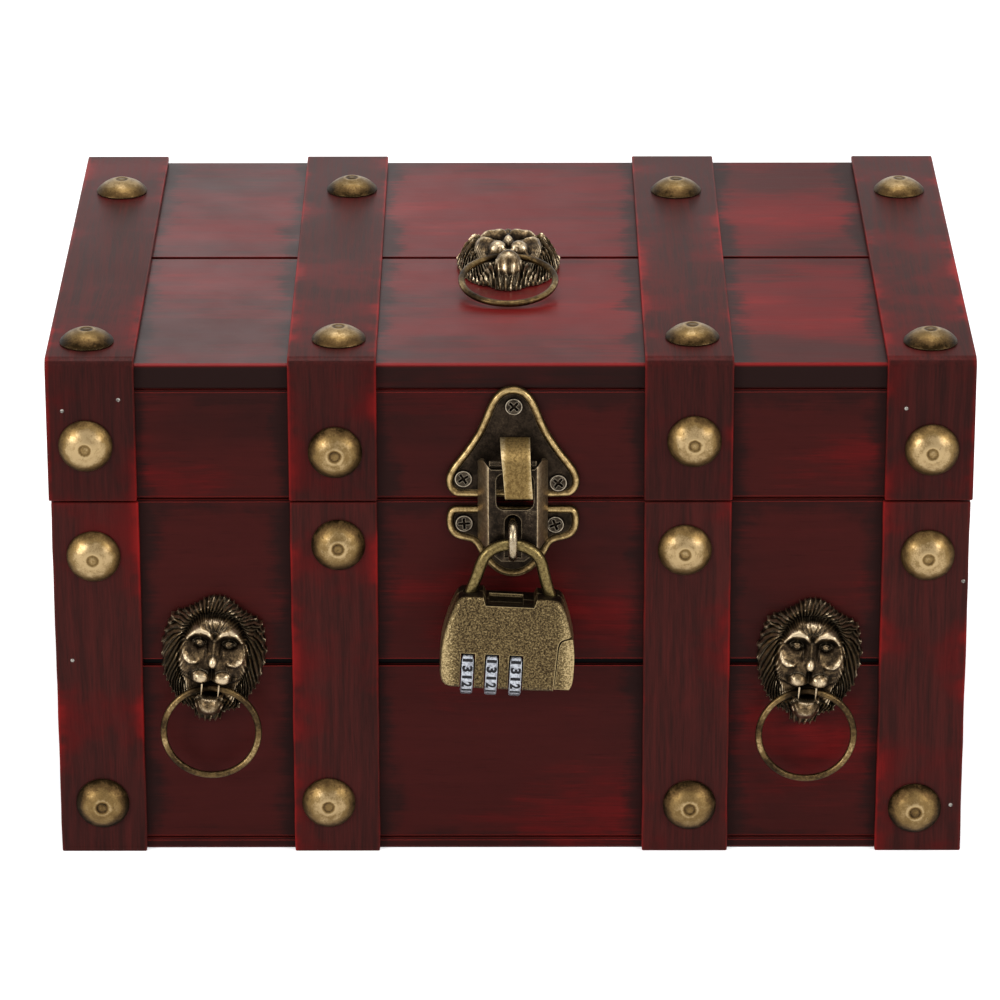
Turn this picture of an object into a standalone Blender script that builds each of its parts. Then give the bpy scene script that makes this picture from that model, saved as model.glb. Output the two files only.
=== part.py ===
"""A small wooden chest with a hinged lid, strap battens, dome studs, lion head pulls and a padlocked hasp.

Frame: metres, +Z up, +X to the right seen from the front, the front faces -Y.
The origin is the middle of the underside.
"""
import math

import bmesh
import bpy
from mathutils import Matrix, Vector

# Fits
FIT_GAP = 0.0003
CUT_OVERRUN = 0.002

# Chest body
BODY_WIDTH = 0.2204
BODY_DEPTH = 0.1524
BODY_HEIGHT = 0.0920
WALL = 0.0080
BOTTOM_THICKNESS = 0.0027
BOARD_EDGE = 0.0005
GROOVE_WIDTH = 0.0018
GROOVE_DEPTH = 0.0012
GROOVE_HEIGHT = 0.0497

# Lid
LID_SIDE_OVERHANG = 0.0004
LID_END_OVERHANG = 0.0003
LID_HEIGHT = 0.0344
LID_BOARD = 0.0065
LID_SEAM = 0.0005

# Strap battens: the inner ones stand nearer the middle than halfway out, by the shift
STRAP_WIDTH = 0.0211
STRAP_THICKNESS = 0.0015
STRAP_EDGE = 0.0004
STRAP_BEND = 0.0012
INNER_STRAP_SHIFT = 0.0126

# Dome studs
STUD_DIAMETER = 0.0130
STUD_HEIGHT = 0.0036
STUD_RIM = 0.0005
STUD_DIMPLE = 0.0017
STUD_DIMPLE_DEPTH = 0.00025
STUD_SHANK_DIAMETER = 0.0026
STUD_SHANK_LENGTH = 0.0060
STUD_SIDES = 12
STUD_WANDER = 0.0010
UPPER_ROW_DROP = 0.0125
LOWER_ROW_RISE = 0.0127
LID_ROW_RISE = 0.0139
NEAR_ROW_INSET = 0.0109
FAR_ROW_INSET = 0.0293

# How far each hand-set stud lies off its row, across and along the strap, as shares of the wander
UPPER_ROW_SHARES = ((-0.6, -1.2), (1.1, 1.7), (-0.7, 0.3), (0.5, -1.1))
LOWER_ROW_SHARES = ((-0.1, 0.5), (-2.0, 0.6), (1.1, -0.1), (-1.0, -1.0))
LID_ROW_SHARES = ((-1.3, 0.4), (0.6, -1.3), (1.3, 1.4), (0.4, -0.8))
NEAR_ROW_SHARES = ((-1.2, -1.0), (1.4, 0.7), (1.0, 1.8), (0.2, -1.4))
FAR_ROW_SHARES = ((0.1, -0.3), (1.8, 0.8), (0.2, -0.4), (0.1, -0.1))

# Rear hinges
HINGE_INSET = 0.0442
HINGE_LENGTH = 0.0240
LEAF_HEIGHT = 0.0100
LEAF_THICKNESS = 0.0009
KNUCKLE_RADIUS = 0.0016
HINGE_PIN_RADIUS = 0.0008
HINGE_SIDES = 12

# Latch plates
LATCH_X = 0.0005
PLATE_SHEET = 0.0008
PLATE_RIM_WIDTH = 0.0010
PLATE_RIM_HEIGHT = 0.0007
PLATE_SCREW_RADIUS = 0.0021
PLATE_SCREW_HEIGHT = 0.0006
UPPER_PLATE_HALF = 0.0161
UPPER_PLATE_RISE = 0.0007
UPPER_PLATE_HEIGHT = 0.0283
LOWER_PLATE_HALF = 0.0160
LOWER_PLATE_DROP = 0.0012
LOWER_PLATE_HEIGHT = 0.0184

# Right halves of the plates' outlines, as shares of the half width and of the height above the base
UPPER_PLATE_SHARES = (
    (0.78, 0.0), (0.89, 0.02), (0.97, 0.07), (1.0, 0.135), (0.985, 0.2), (0.93, 0.27),
    (0.83, 0.345), (0.72, 0.43), (0.62, 0.515), (0.53, 0.6), (0.455, 0.7), (0.39, 0.8),
    (0.33, 0.875), (0.25, 0.94), (0.14, 0.985), (0.0, 1.0),
)
LOWER_PLATE_SHARES = (
    (0.17, 0.03), (0.31, 0.11), (0.43, 0.23), (0.52, 0.36), (0.565, 0.45), (0.63, 0.5),
    (0.75, 0.52), (0.87, 0.555), (0.96, 0.62), (1.0, 0.72), (1.0, 0.96), (0.95, 1.0),
)
UPPER_SCREW_SHARES = ((0.0, 0.82), (-0.705, 0.16), (0.705, 0.14))
LOWER_SCREW_SHARES = ((-0.68, 0.765), (0.66, 0.755))

# Hasp flap: a channel of sheet that hangs on the upper plate's link and closes over the staple
FLAP_STANDOFF = 0.00725
FLAP_FACE_WIDTH = 0.0128
FLAP_FLARE = 0.0020
FLAP_DEPTH = 0.0045
FLAP_SHEET = 0.0009
FLAP_RISE = 0.0121
FLAP_BAR = 0.0023
FLAP_NOSE = 0.0010
FLANGE_TOP_DROP = 0.0007
FLANGE_FOOT_RISE = 0.0027
FLANGE_CHAMFER = 0.0030
FLAP_LIP = 0.0014
FLAP_TAPER = 0.0030
WINDOW_CLEARANCE = 0.00075
WINDOW_SHIFT = 0.0005
WINDOW_BELOW_LINK = 0.0040
SLOT_SIDE_CLEARANCE = 0.00105
SLOT_FOOT_CLEARANCE = 0.0004
SLOT_HEIGHT = 0.0110
FLAP_PIVOT_DEPTH = 0.00150

# Link: the bright strap that comes out of the upper plate and wraps the flap's top bar
LINK_WIDTH = 0.0073
LINK_SHIFT = 0.0007
LINK_SHEET = 0.0008
LINK_FRONT = 0.0030
LINK_BACK = 0.0026
LINK_SLIT_RISE = 0.00605
LINK_SHOULDER_RISE = 0.00225
LINK_DROP = 0.00635
LINK_END_RISE = 0.00165
LINK_BEND = 0.0008

# Staple: a bent rod that stands out of the lower plate, through the flap's slot
STAPLE_ROD = 0.0019
STAPLE_DROP = 0.0115
STAPLE_BEND_STEPS = 5

# Padlock, in its own frame: across, and down from the staple's point; it hangs turned by the tilt
PADLOCK_TILT = math.radians(2.9)
SHACKLE_ROD = 0.0029
SHACKLE_HALF = 0.0096
SHACKLE_RISE = 0.0130
SHACKLE_PINCH_SHARE = 0.09
SHACKLE_STEPS = 16
SHACKLE_SIDES = 10
LONG_LEG_CLEARANCE = 0.0022
SHORT_LEG = 0.0050
CASE_TOP = 0.0123
CASE_HEIGHT = 0.0238
CASE_HALF = 0.0161
CASE_THICKNESS = 0.0100
CASE_EDGE = 0.0025
NOTCH_DEPTH = 0.0018
NOTCH_HALF = 0.0058
NOTCH_SLOPE = 0.0007
CASE_LIFT = 0.0070
DIAL_RADIUS = 0.0066
DIAL_WIDTH = 0.0029
DIAL_EDGE = 0.0003
DIAL_PITCH = 0.0058
DIAL_MIDDLE_X = -0.0036
DIAL_ABOVE_BOTTOM = 0.0040
DIAL_SIDES = 20
SPINDLE_RADIUS = 0.0010
BORE_SIDES = 12
SPINDLE_OVERHANG = 0.0018
SLIDER_WIDTH = 0.0038
SLIDER_HEIGHT = 0.0140
SLIDER_CORNER = 0.0012
SLIDER_DRAFT = 0.0007
SLIDER_TRAVEL = 0.0020
SLIDER_TONGUE = 0.0044
SLIDER_TONGUE_HEIGHT = 0.0026
SLIDER_TONGUE_RISE = 0.0030

# Case outline, right half from the bottom up, as shares of the half width and of the height
CASE_SHARES = (
    (0.8, 0.0), (0.93, 0.03), (0.985, 0.1), (1.0, 0.2), (1.0, 0.4), (0.975, 0.55),
    (0.925, 0.7), (0.855, 0.85), (0.8, 0.945), (0.7, 1.0),
)

# Lion head pulls, in their own frame: across, up from the mouth, and out from the board
LION_HALF = 0.0130
LION_RELIEF = 0.0080
LION_EDGE = 0.0012
LION_CROWN = 0.0050
LION_CENTRE_RISE = 0.0065
LION_SIDES = 48
LION_LOCKS = 12
LION_RING_SHARES = (0.14, 0.28, 0.41, 0.53, 0.64, 0.74, 0.83, 0.92, 1.0)
LOCK_CUT_SHARE = 0.05
LOCK_RIDGE = 0.0006
LOCK_SWIRL = 5.0
FACE_RISE_SHARE = 0.66
FACE_SHARES = (0.62, 0.76)
FACE_SWELL = 0.0009
RING_RADIUS = 0.0115
RING_WIRE = 0.00085
RING_OUT = 0.0052
RING_SIDES = 8
RING_STEPS = 26
CHANNEL_HALF = 0.0062
CHANNEL_STEPS = 10
CHANNEL_SIDES = 12
MOUTH_HALF = 0.0019
MOUTH_ABOVE = 0.0017
MOUTH_BELOW = 0.0017
LION_POST_RADIUS = 0.0013
LION_POST_LENGTH = 0.0055
POST_SIDES = 10

# Head outline, right half from the crown to the beard's tip, as shares of the half width
LION_OUTLINE_SHARES = (
    (0.0, 1.81), (0.23, 1.78), (0.46, 1.67), (0.66, 1.54), (0.82, 1.46), (0.92, 1.28),
    (0.97, 1.05), (1.0, 0.78), (0.985, 0.51), (0.91, 0.28), (0.8, 0.09), (0.72, -0.04),
    (0.64, -0.26), (0.5, -0.46), (0.33, -0.54), (0.2, -0.67), (0.0, -0.77),
)

# Swellings of the face: across, up, half width, half height (shares of the half width), rise (of the relief)
LION_BUMP_SHARES = (
    (0.0, 0.2, 0.4, 0.34, 0.07),
    (0.2, 0.25, 0.17, 0.14, 0.09),
    (0.0, 0.54, 0.12, 0.11, 0.15),
    (0.0, 0.82, 0.11, 0.26, 0.1),
    (0.28, 1.11, 0.215, 0.1, 0.17),
    (0.27, 0.9, 0.15, 0.12, -0.13),
    (0.27, 0.9, 0.07, 0.06, 0.15),
    (0.46, 0.62, 0.16, 0.13, 0.11),
    (0.0, 1.32, 0.185, 0.115, 0.1),
    (0.78, 1.36, 0.12, 0.14, 0.2),
    (0.0, -0.36, 0.21, 0.18, 0.18),
    (0.62, -0.2, 0.24, 0.24, -0.2),
    (0.0, -0.6, 0.45, 0.22, -0.13),
)
LION_LEFT_RISE = 0.0453
LION_RIGHT_RISE = 0.0443
LION_TOP_INSET = 0.0616
LION_TOP_SHIFT = -0.0005
LION_LEFT_LEAN = math.radians(6.0)
LION_RIGHT_LEAN = math.radians(4.5)

# How far each front lion lies off the middle between its straps, as shares of the room left there
LION_LEFT_SHARE = -0.162
LION_RIGHT_SHARE = 0.052

# Places worked out from the sizes above
LID_WIDTH = BODY_WIDTH + 2 * LID_SIDE_OVERHANG
LID_DEPTH = BODY_DEPTH + 2 * LID_END_OVERHANG
BODY_FRONT = -BODY_DEPTH / 2
LID_FRONT = -LID_DEPTH / 2
LID_BASE = BODY_HEIGHT + LID_SEAM
LID_TOP = LID_BASE + LID_HEIGHT
BODY_STRAP_X = (BODY_WIDTH - STRAP_WIDTH) / 2
LID_STRAP_X = (LID_WIDTH - STRAP_WIDTH) / 2
INNER_STRAP_X = BODY_WIDTH / 4 - INNER_STRAP_SHIFT
UPPER_ROW_Z = BODY_HEIGHT - UPPER_ROW_DROP
LID_ROW_Z = LID_BASE + LID_ROW_RISE
NEAR_ROW_Y = LID_FRONT + NEAR_ROW_INSET
FAR_ROW_Y = -LID_FRONT - FAR_ROW_INSET
HINGE_X = BODY_WIDTH / 2 - HINGE_INSET
UPPER_PLATE_BASE = LID_BASE + UPPER_PLATE_RISE
LOWER_PLATE_BASE = BODY_HEIGHT - LOWER_PLATE_DROP - LOWER_PLATE_HEIGHT
FLAP_FACE_Y = LID_FRONT - FLAP_STANDOFF
FLAP_PIVOT_Y = FLAP_FACE_Y + FLAP_PIVOT_DEPTH
FLAP_TOP = BODY_HEIGHT + FLAP_RISE
FLAP_PIVOT_Z = FLAP_TOP - FLAP_BAR / 2
LINK_BOTTOM_Z = FLAP_PIVOT_Z - LINK_DROP
STAPLE_BOTTOM = BODY_HEIGHT - STAPLE_DROP
STAPLE_INSIDE = SHACKLE_ROD + 2 * FIT_GAP
SLOT_BOTTOM = STAPLE_BOTTOM - SLOT_FOOT_CLEARANCE
SLOT_TOP = SLOT_BOTTOM + SLOT_HEIGHT
SLOT_WIDTH = STAPLE_ROD + 2 * SLOT_SIDE_CLEARANCE
FLAP_BOTTOM = SLOT_BOTTOM - FLAP_NOSE
FLANGE_TOP = FLAP_TOP - FLANGE_TOP_DROP
FLANGE_BOTTOM = FLAP_BOTTOM + FLANGE_FOOT_RISE
WINDOW_WIDTH = LINK_WIDTH + 2 * WINDOW_CLEARANCE
WINDOW_TOP = FLAP_TOP - FLAP_BAR
WINDOW_BOTTOM = LINK_BOTTOM_Z - WINDOW_BELOW_LINK
LONG_LEG = CASE_HEIGHT - SLIDER_TONGUE_RISE - SLIDER_TONGUE_HEIGHT - LONG_LEG_CLEARANCE
PADLOCK_TOP_Z = STAPLE_BOTTOM + STAPLE_ROD + FIT_GAP + SHACKLE_ROD / 2
PADLOCK_Y = FLAP_FACE_Y - FIT_GAP - SHACKLE_ROD / 2
STAPLE_FRONT_Y = PADLOCK_Y - (SHACKLE_ROD + STAPLE_ROD) / 2 - FIT_GAP
HINGE_Y = LID_DEPTH / 2 + FIT_GAP + KNUCKLE_RADIUS
HINGE_Z = BODY_HEIGHT + LID_SEAM / 2
STRAP_FACE = FIT_GAP + STRAP_THICKNESS + FIT_GAP


# Materials

def finish(name, colour, roughness, metallic):
    material = bpy.data.materials.new(name)
    material.use_nodes = True
    shader = material.node_tree.nodes["Principled BSDF"]
    shader.inputs["Base Color"].default_value = (*colour, 1.0)
    shader.inputs["Roughness"].default_value = roughness
    shader.inputs["Metallic"].default_value = metallic
    return material


# Helpers that make and join meshes

def place(name, mesh, material, matrix=None):
    """Put a finished bmesh in the scene as a named piece, with its faces out."""
    bmesh.ops.recalc_face_normals(mesh, faces=mesh.faces)
    data = bpy.data.meshes.new(name)
    mesh.to_mesh(data)
    mesh.free()
    piece = bpy.data.objects.new(name, data)
    bpy.context.scene.collection.objects.link(piece)
    if material is not None:
        data.materials.append(material)
    if matrix is not None:
        piece.matrix_world = matrix
    return piece


def smooth(piece, degrees=35.0):
    piece.data.shade_smooth()
    piece.data.set_sharp_from_angle(angle=math.radians(degrees))
    return piece


def tool(name, mesh, matrix=None):
    """A shape that only cuts or joins another piece."""
    shape = place(name, mesh, None, matrix)
    shape.hide_render = True
    shape.display_type = "WIRE"
    return shape


def combine(piece, shape, operation):
    modifier = piece.modifiers.new(shape.name, "BOOLEAN")
    modifier.operation = operation
    modifier.object = shape
    return piece


def box_mesh(low, high, edge=0.0):
    mesh = bmesh.new()
    bmesh.ops.create_cube(mesh, size=1.0)
    low, high = Vector(low), Vector(high)
    bmesh.ops.scale(mesh, vec=high - low, verts=mesh.verts)
    bmesh.ops.translate(mesh, vec=(low + high) / 2, verts=mesh.verts)
    if edge:
        bmesh.ops.bevel(mesh, geom=mesh.edges[:], offset=edge, segments=1, affect="EDGES")
    return mesh


def prism_mesh(outline, frame, depth):
    """Extrude a flat outline: frame gives its origin, its two directions and the depth's direction."""
    origin, across, up, out = (Vector(v) for v in frame)
    mesh = bmesh.new()
    base = mesh.faces.new([mesh.verts.new(origin + across * a + up * b) for a, b in outline])
    made = bmesh.ops.extrude_face_region(mesh, geom=[base])
    raised = [v for v in made["geom"] if isinstance(v, bmesh.types.BMVert)]
    bmesh.ops.translate(mesh, vec=out * depth, verts=raised)
    return mesh


def turned_mesh(profile, sides, closed=False):
    """Turn a profile of radius and height about Z; a closed profile makes a ring with a bore."""
    mesh = bmesh.new()
    rings = []
    for radius, height in profile:
        turns = [math.tau * k / sides for k in range(sides if radius > 0 else 1)]
        rings.append([mesh.verts.new((radius * math.cos(a), radius * math.sin(a), height)) for a in turns])
    pairs = list(zip(rings, rings[1:]))
    if closed:
        pairs.append((rings[-1], rings[0]))
    for first, second in pairs:
        for k in range(sides):
            corners = [first[k % len(first)], second[k % len(second)]]
            corners += [second[(k + 1) % len(second)], first[(k + 1) % len(first)]]
            mesh.faces.new(list(dict.fromkeys(corners)))
    return mesh


def swept_mesh(path, radius, sides, normal, closed=False):
    """A round rod along a flat path of points; normal is square to the path's plane."""
    mesh = bmesh.new()
    normal = Vector(normal)
    points = [Vector(p) for p in path]
    rings = []
    for k, point in enumerate(points):
        before = points[k - 1] if closed or k else point
        after = points[(k + 1) % len(points)] if closed or k < len(points) - 1 else point
        side = (after - before).normalized().cross(normal)
        turns = [math.tau * n / sides for n in range(sides)]
        spokes = [side * math.cos(a) + normal * math.sin(a) for a in turns]
        rings.append([mesh.verts.new(point + spoke * radius) for spoke in spokes])
    pairs = list(zip(rings, rings[1:]))
    if closed:
        pairs.append((rings[-1], rings[0]))
    else:
        mesh.faces.new(rings[0])
        mesh.faces.new(rings[-1])
    for first, second in pairs:
        for k in range(sides):
            mesh.faces.new([first[k], first[(k + 1) % sides], second[(k + 1) % sides], second[k]])
    return mesh


def joined_mesh(meshes):
    """Several closed shapes that don't meet, as one mesh."""
    whole = bmesh.new()
    for part in meshes:
        bmesh.ops.recalc_face_normals(part, faces=part.faces)
        data = bpy.data.meshes.new("joined")
        part.to_mesh(data)
        part.free()
        whole.from_mesh(data)
        bpy.data.meshes.remove(data)
    return whole


def rod_mesh(radius, low, high, sides, matrix=None):
    """A closed round bar along Z from low to high, moved by matrix."""
    mesh = turned_mesh([(0, high), (radius, high), (radius, low), (0, low)], sides)
    if matrix is not None:
        bmesh.ops.transform(mesh, matrix=matrix, verts=mesh.verts)
    return mesh


def offset_outline(outline, distance):
    """Move each side of a closed, anticlockwise outline outwards by the distance."""
    moved = []
    count = len(outline)
    for k in range(count):
        point = Vector(outline[k])
        before = (point - Vector(outline[k - 1])).normalized()
        after = (Vector(outline[(k + 1) % count]) - point).normalized()
        out_before = Vector((before.y, -before.x))
        out_after = Vector((after.y, -after.x))
        middle = (out_before + out_after).normalized()
        moved.append(point + middle * (distance / max(middle.dot(out_before), 0.3)))
    return [tuple(p) for p in moved]


def mirrored(half):
    """A whole outline, anticlockwise, from its right half given from the bottom up."""
    left = [(-a, b) for a, b in reversed(half) if a > 0]
    return list(half) + left


def strip_outline(path, thickness):
    """The outline of a bent strip of sheet, from the line along its middle."""
    points = [Vector(p) for p in path]
    sides = []
    for k, point in enumerate(points):
        before = (point - points[k - 1]).normalized() if k else (points[1] - point).normalized()
        after = (points[k + 1] - point).normalized() if k < len(points) - 1 else before
        normal = Vector((-(before + after).y, (before + after).x)).normalized()
        reach = thickness / 2 / max(normal.dot(Vector((-before.y, before.x))), 0.5)
        sides.append((point + normal * reach, point - normal * reach))
    return [tuple(s[0]) for s in sides] + [tuple(s[1]) for s in reversed(sides)]


# Chest body and lid boards

def stud_hole(x, along, on_top):
    """The clearance hole of one stud, through its strap and into the board behind."""
    radius = STUD_SHANK_DIAMETER / 2 + FIT_GAP
    reach = STUD_SHANK_LENGTH + FIT_GAP - STRAP_FACE
    if on_top:
        spot = Matrix.Translation((x, along, LID_TOP))
    else:
        front = LID_FRONT if along > LID_BASE else BODY_FRONT
        spot = Matrix.Translation((x, front, along)) @ Matrix.Rotation(math.pi / 2, 4, "X")
    return rod_mesh(radius, -reach, STRAP_FACE + CUT_OVERRUN, 10, spot)


def drill(piece, spots):
    """Clearance holes for the studs that pass through a piece."""
    combine(piece, tool(f"{piece.name}_holes", joined_mesh([stud_hole(*s) for s in spots])), "DIFFERENCE")


def stud_row(strap_x, level, shares):
    """Where the four studs of one row sit."""
    columns = (-strap_x, -INNER_STRAP_X, INNER_STRAP_X, strap_x)
    return [(x + a * STUD_WANDER, level + b * STUD_WANDER) for x, (a, b) in zip(columns, shares)]


def board(name, low, high, wood):
    """A plank between two corners, with its sharp edges taken off."""
    return place(name, box_mesh(low, high, BOARD_EDGE), wood)


def groove(name, low, high, boards):
    """Cut one straight groove across the boards."""
    cutter = tool(name, box_mesh(low, high))
    for piece in boards:
        combine(piece, cutter, "DIFFERENCE")


def body_boards(wood):
    half, front = BODY_WIDTH / 2, BODY_FRONT
    board("bottom_board", (-half, front, 0), (half, -front, BOTTOM_THICKNESS), wood)
    base, top = BOTTOM_THICKNESS + FIT_GAP, BODY_HEIGHT
    inner = half - WALL
    front_wall = board("front_wall", (-half, front, base), (half, front + WALL, top), wood)
    back_wall = board("back_wall", (-half, -front - WALL, base), (half, -front, top), wood)
    side = -front - WALL - FIT_GAP
    left = board("left_wall", (-half, -side, base), (-inner, side, top), wood)
    right = board("right_wall", (inner, -side, base), (half, side, top), wood)
    low, high = GROOVE_HEIGHT - GROOVE_WIDTH / 2, GROOVE_HEIGHT + GROOVE_WIDTH / 2
    reach, depth = half + CUT_OVERRUN, -front + CUT_OVERRUN
    floor_x, floor_y = half - GROOVE_DEPTH, -front - GROOVE_DEPTH
    groove("groove_front", (-reach, -depth, low), (reach, -floor_y, high), (front_wall,))
    groove("groove_back", (-reach, floor_y, low), (reach, depth, high), (back_wall,))
    groove("groove_left", (-reach, -depth, low), (-floor_x, depth, high), (front_wall, back_wall, left))
    groove("groove_right", (floor_x, -depth, low), (reach, depth, high), (front_wall, back_wall, right))
    return front_wall


def lid_boards(wood):
    half, front = LID_WIDTH / 2, LID_FRONT
    under = LID_TOP - LID_BOARD
    base, top = LID_BASE, under - FIT_GAP
    inner = half - WALL
    top_board = board("lid_board", (-half, front, under), (half, -front, LID_TOP), wood)
    rail = board("lid_front_rail", (-half, front, base), (half, front + WALL, top), wood)
    board("lid_back_rail", (-half, -front - WALL, base), (half, -front, top), wood)
    side = -front - WALL - FIT_GAP
    board("lid_left_rail", (-half, -side, base), (-inner, side, top), wood)
    board("lid_right_rail", (inner, -side, base), (half, side, top), wood)
    reach, wide = half + CUT_OVERRUN, GROOVE_WIDTH / 2
    over = LID_TOP + CUT_OVERRUN
    groove("groove_top", (-reach, -wide, LID_TOP - GROOVE_DEPTH), (reach, wide, over), (top_board,))
    return top_board, rail


def body_straps(wood):
    face = BODY_FRONT - FIT_GAP
    straps = []
    for number, x in enumerate((-BODY_STRAP_X, -INNER_STRAP_X, INNER_STRAP_X, BODY_STRAP_X), 1):
        low = (x - STRAP_WIDTH / 2, face - STRAP_THICKNESS, 0)
        high = (x + STRAP_WIDTH / 2, face, BODY_HEIGHT)
        straps.append(place(f"body_strap_{number}", box_mesh(low, high, STRAP_EDGE), wood))
    return straps


def lid_straps(wood):
    """One bent strap each: along the lid's top and down its front."""
    straps = []
    inner_y, inner_z = LID_FRONT - FIT_GAP, LID_TOP + FIT_GAP
    outer_y, outer_z = inner_y - STRAP_THICKNESS, inner_z + STRAP_THICKNESS
    bend = [
        (outer_y + STRAP_BEND * (1 - math.cos(a)), outer_z - STRAP_BEND * (1 - math.sin(a)))
        for a in (0, math.pi / 6, math.pi / 3, math.pi / 2)
    ]
    outline = [(inner_y, LID_BASE), (outer_y, LID_BASE), *bend, (-LID_FRONT, outer_z), (-LID_FRONT, inner_z)]
    outline.append((inner_y, inner_z))
    for number, x in enumerate((-LID_STRAP_X, -INNER_STRAP_X, INNER_STRAP_X, LID_STRAP_X), 1):
        frame = ((x - STRAP_WIDTH / 2, 0, 0), (0, 1, 0), (0, 0, 1), (1, 0, 0))
        mesh = prism_mesh(outline, frame, STRAP_WIDTH)
        straps.append(place(f"lid_strap_{number}", mesh, wood))
    return straps


def studs(brass, front_wall, top_board, rail, body_strap_list, lid_strap_list):
    """Dome studs, each in its hole through a strap and into the wood behind."""
    shank = STUD_SHANK_DIAMETER / 2
    radius = STUD_DIAMETER / 2
    dome = (radius ** 2 + (STUD_HEIGHT - STUD_RIM) ** 2) / (2 * (STUD_HEIGHT - STUD_RIM))
    rim_angle = math.asin(radius / dome)
    first_angle = math.asin(STUD_DIMPLE / dome)
    angles = [first_angle + (rim_angle - first_angle) * k / 2 for k in range(3)]
    profile = [(0, STUD_HEIGHT - 2 * STUD_DIMPLE_DEPTH)]
    profile += [(dome * math.sin(a), STUD_HEIGHT - dome * (1 - math.cos(a))) for a in angles]
    profile += [(radius, 0), (shank, 0), (shank, -STUD_SHANK_LENGTH), (0, -STUD_SHANK_LENGTH)]
    out = Matrix.Rotation(math.pi / 2, 4, "X")

    def add(name, spot, matrix):
        smooth(place(name, turned_mesh(profile, STUD_SIDES), brass, Matrix.Translation(spot) @ matrix))

    upper = stud_row(BODY_STRAP_X, UPPER_ROW_Z, UPPER_ROW_SHARES)
    lower = stud_row(BODY_STRAP_X, LOWER_ROW_RISE, LOWER_ROW_SHARES)
    for number, (x, z) in enumerate(upper + lower, 1):
        add(f"body_stud_{number}", (x, BODY_FRONT - STRAP_FACE, z), out)
    lid_row = stud_row(LID_STRAP_X, LID_ROW_Z, LID_ROW_SHARES)
    for number, (x, z) in enumerate(lid_row, 1):
        add(f"lid_stud_{number}", (x, LID_FRONT - STRAP_FACE, z), out)
    near = stud_row(LID_STRAP_X, NEAR_ROW_Y, NEAR_ROW_SHARES)
    far = stud_row(LID_STRAP_X, FAR_ROW_Y, FAR_ROW_SHARES)
    for number, (x, y) in enumerate(near + far, len(lid_row) + 1):
        add(f"lid_stud_{number}", (x, y, LID_TOP + STRAP_FACE), Matrix.Identity(4))

    drill(front_wall, [(x, z, False) for x, z in upper + lower])
    drill(rail, [(x, z, False) for x, z in lid_row])
    drill(top_board, [(x, y, True) for x, y in near + far])
    for k, strap in enumerate(body_strap_list):
        drill(strap, [(*upper[k], False), (*lower[k], False)])
    for k, strap in enumerate(lid_strap_list):
        drill(strap, [(*lid_row[k], False), (*near[k], True), (*far[k], True)])


# Rear hinges

def hinges(brass):
    """Two butt hinges outside the back; the body leaf carries the outer knuckles and the pin."""
    turn = Matrix.Rotation(math.pi / 2, 4, "Y")
    half, third = HINGE_LENGTH / 2, HINGE_LENGTH / 3
    clear = KNUCKLE_RADIUS + FIT_GAP
    foot = clear + LEAF_THICKNESS
    for side, x in (("left", -HINGE_X), ("right", HINGE_X)):
        axis = Matrix.Translation((x, HINGE_Y, HINGE_Z)) @ turn
        ends = ((-half, -third / 2 - FIT_GAP), (third / 2 + FIT_GAP, half))
        back = BODY_DEPTH / 2 + FIT_GAP
        low = (x - half, back, HINGE_Z - clear - LEAF_HEIGHT)
        high = (x + half, back + LEAF_THICKNESS, HINGE_Z - clear)
        leaf = place(f"hinge_body_leaf_{side}", box_mesh(low, high), brass)
        for number, (first, last) in enumerate(ends, 1):
            web = box_mesh((x + first, back, HINGE_Z - foot), (x + last, HINGE_Y, HINGE_Z))
            combine(leaf, tool(f"body_web_{side}_{number}", web), "UNION")
            knuckle = rod_mesh(KNUCKLE_RADIUS, first, last, HINGE_SIDES, axis)
            combine(leaf, tool(f"body_knuckle_{side}_{number}", knuckle), "UNION")
        pin = rod_mesh(HINGE_PIN_RADIUS, LEAF_THICKNESS - half, half - LEAF_THICKNESS, HINGE_SIDES, axis)
        combine(leaf, tool(f"pin_{side}", pin), "UNION")
        smooth(leaf)
        back = LID_DEPTH / 2 + FIT_GAP
        low = (x - half, back, HINGE_Z + clear)
        high = (x + half, back + LEAF_THICKNESS, HINGE_Z + clear + LEAF_HEIGHT)
        leaf = place(f"hinge_lid_leaf_{side}", box_mesh(low, high), brass)
        web = box_mesh((x - third / 2, back, HINGE_Z), (x + third / 2, HINGE_Y, HINGE_Z + foot))
        combine(leaf, tool(f"lid_web_{side}", web), "UNION")
        knuckle = rod_mesh(KNUCKLE_RADIUS, -third / 2, third / 2, HINGE_SIDES, axis)
        combine(leaf, tool(f"lid_knuckle_{side}", knuckle), "UNION")
        bore = rod_mesh(HINGE_PIN_RADIUS + FIT_GAP, -third, third, HINGE_SIDES, axis)
        combine(leaf, tool(f"lid_bore_{side}", bore), "DIFFERENCE")
        smooth(leaf)


# Latch

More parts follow.
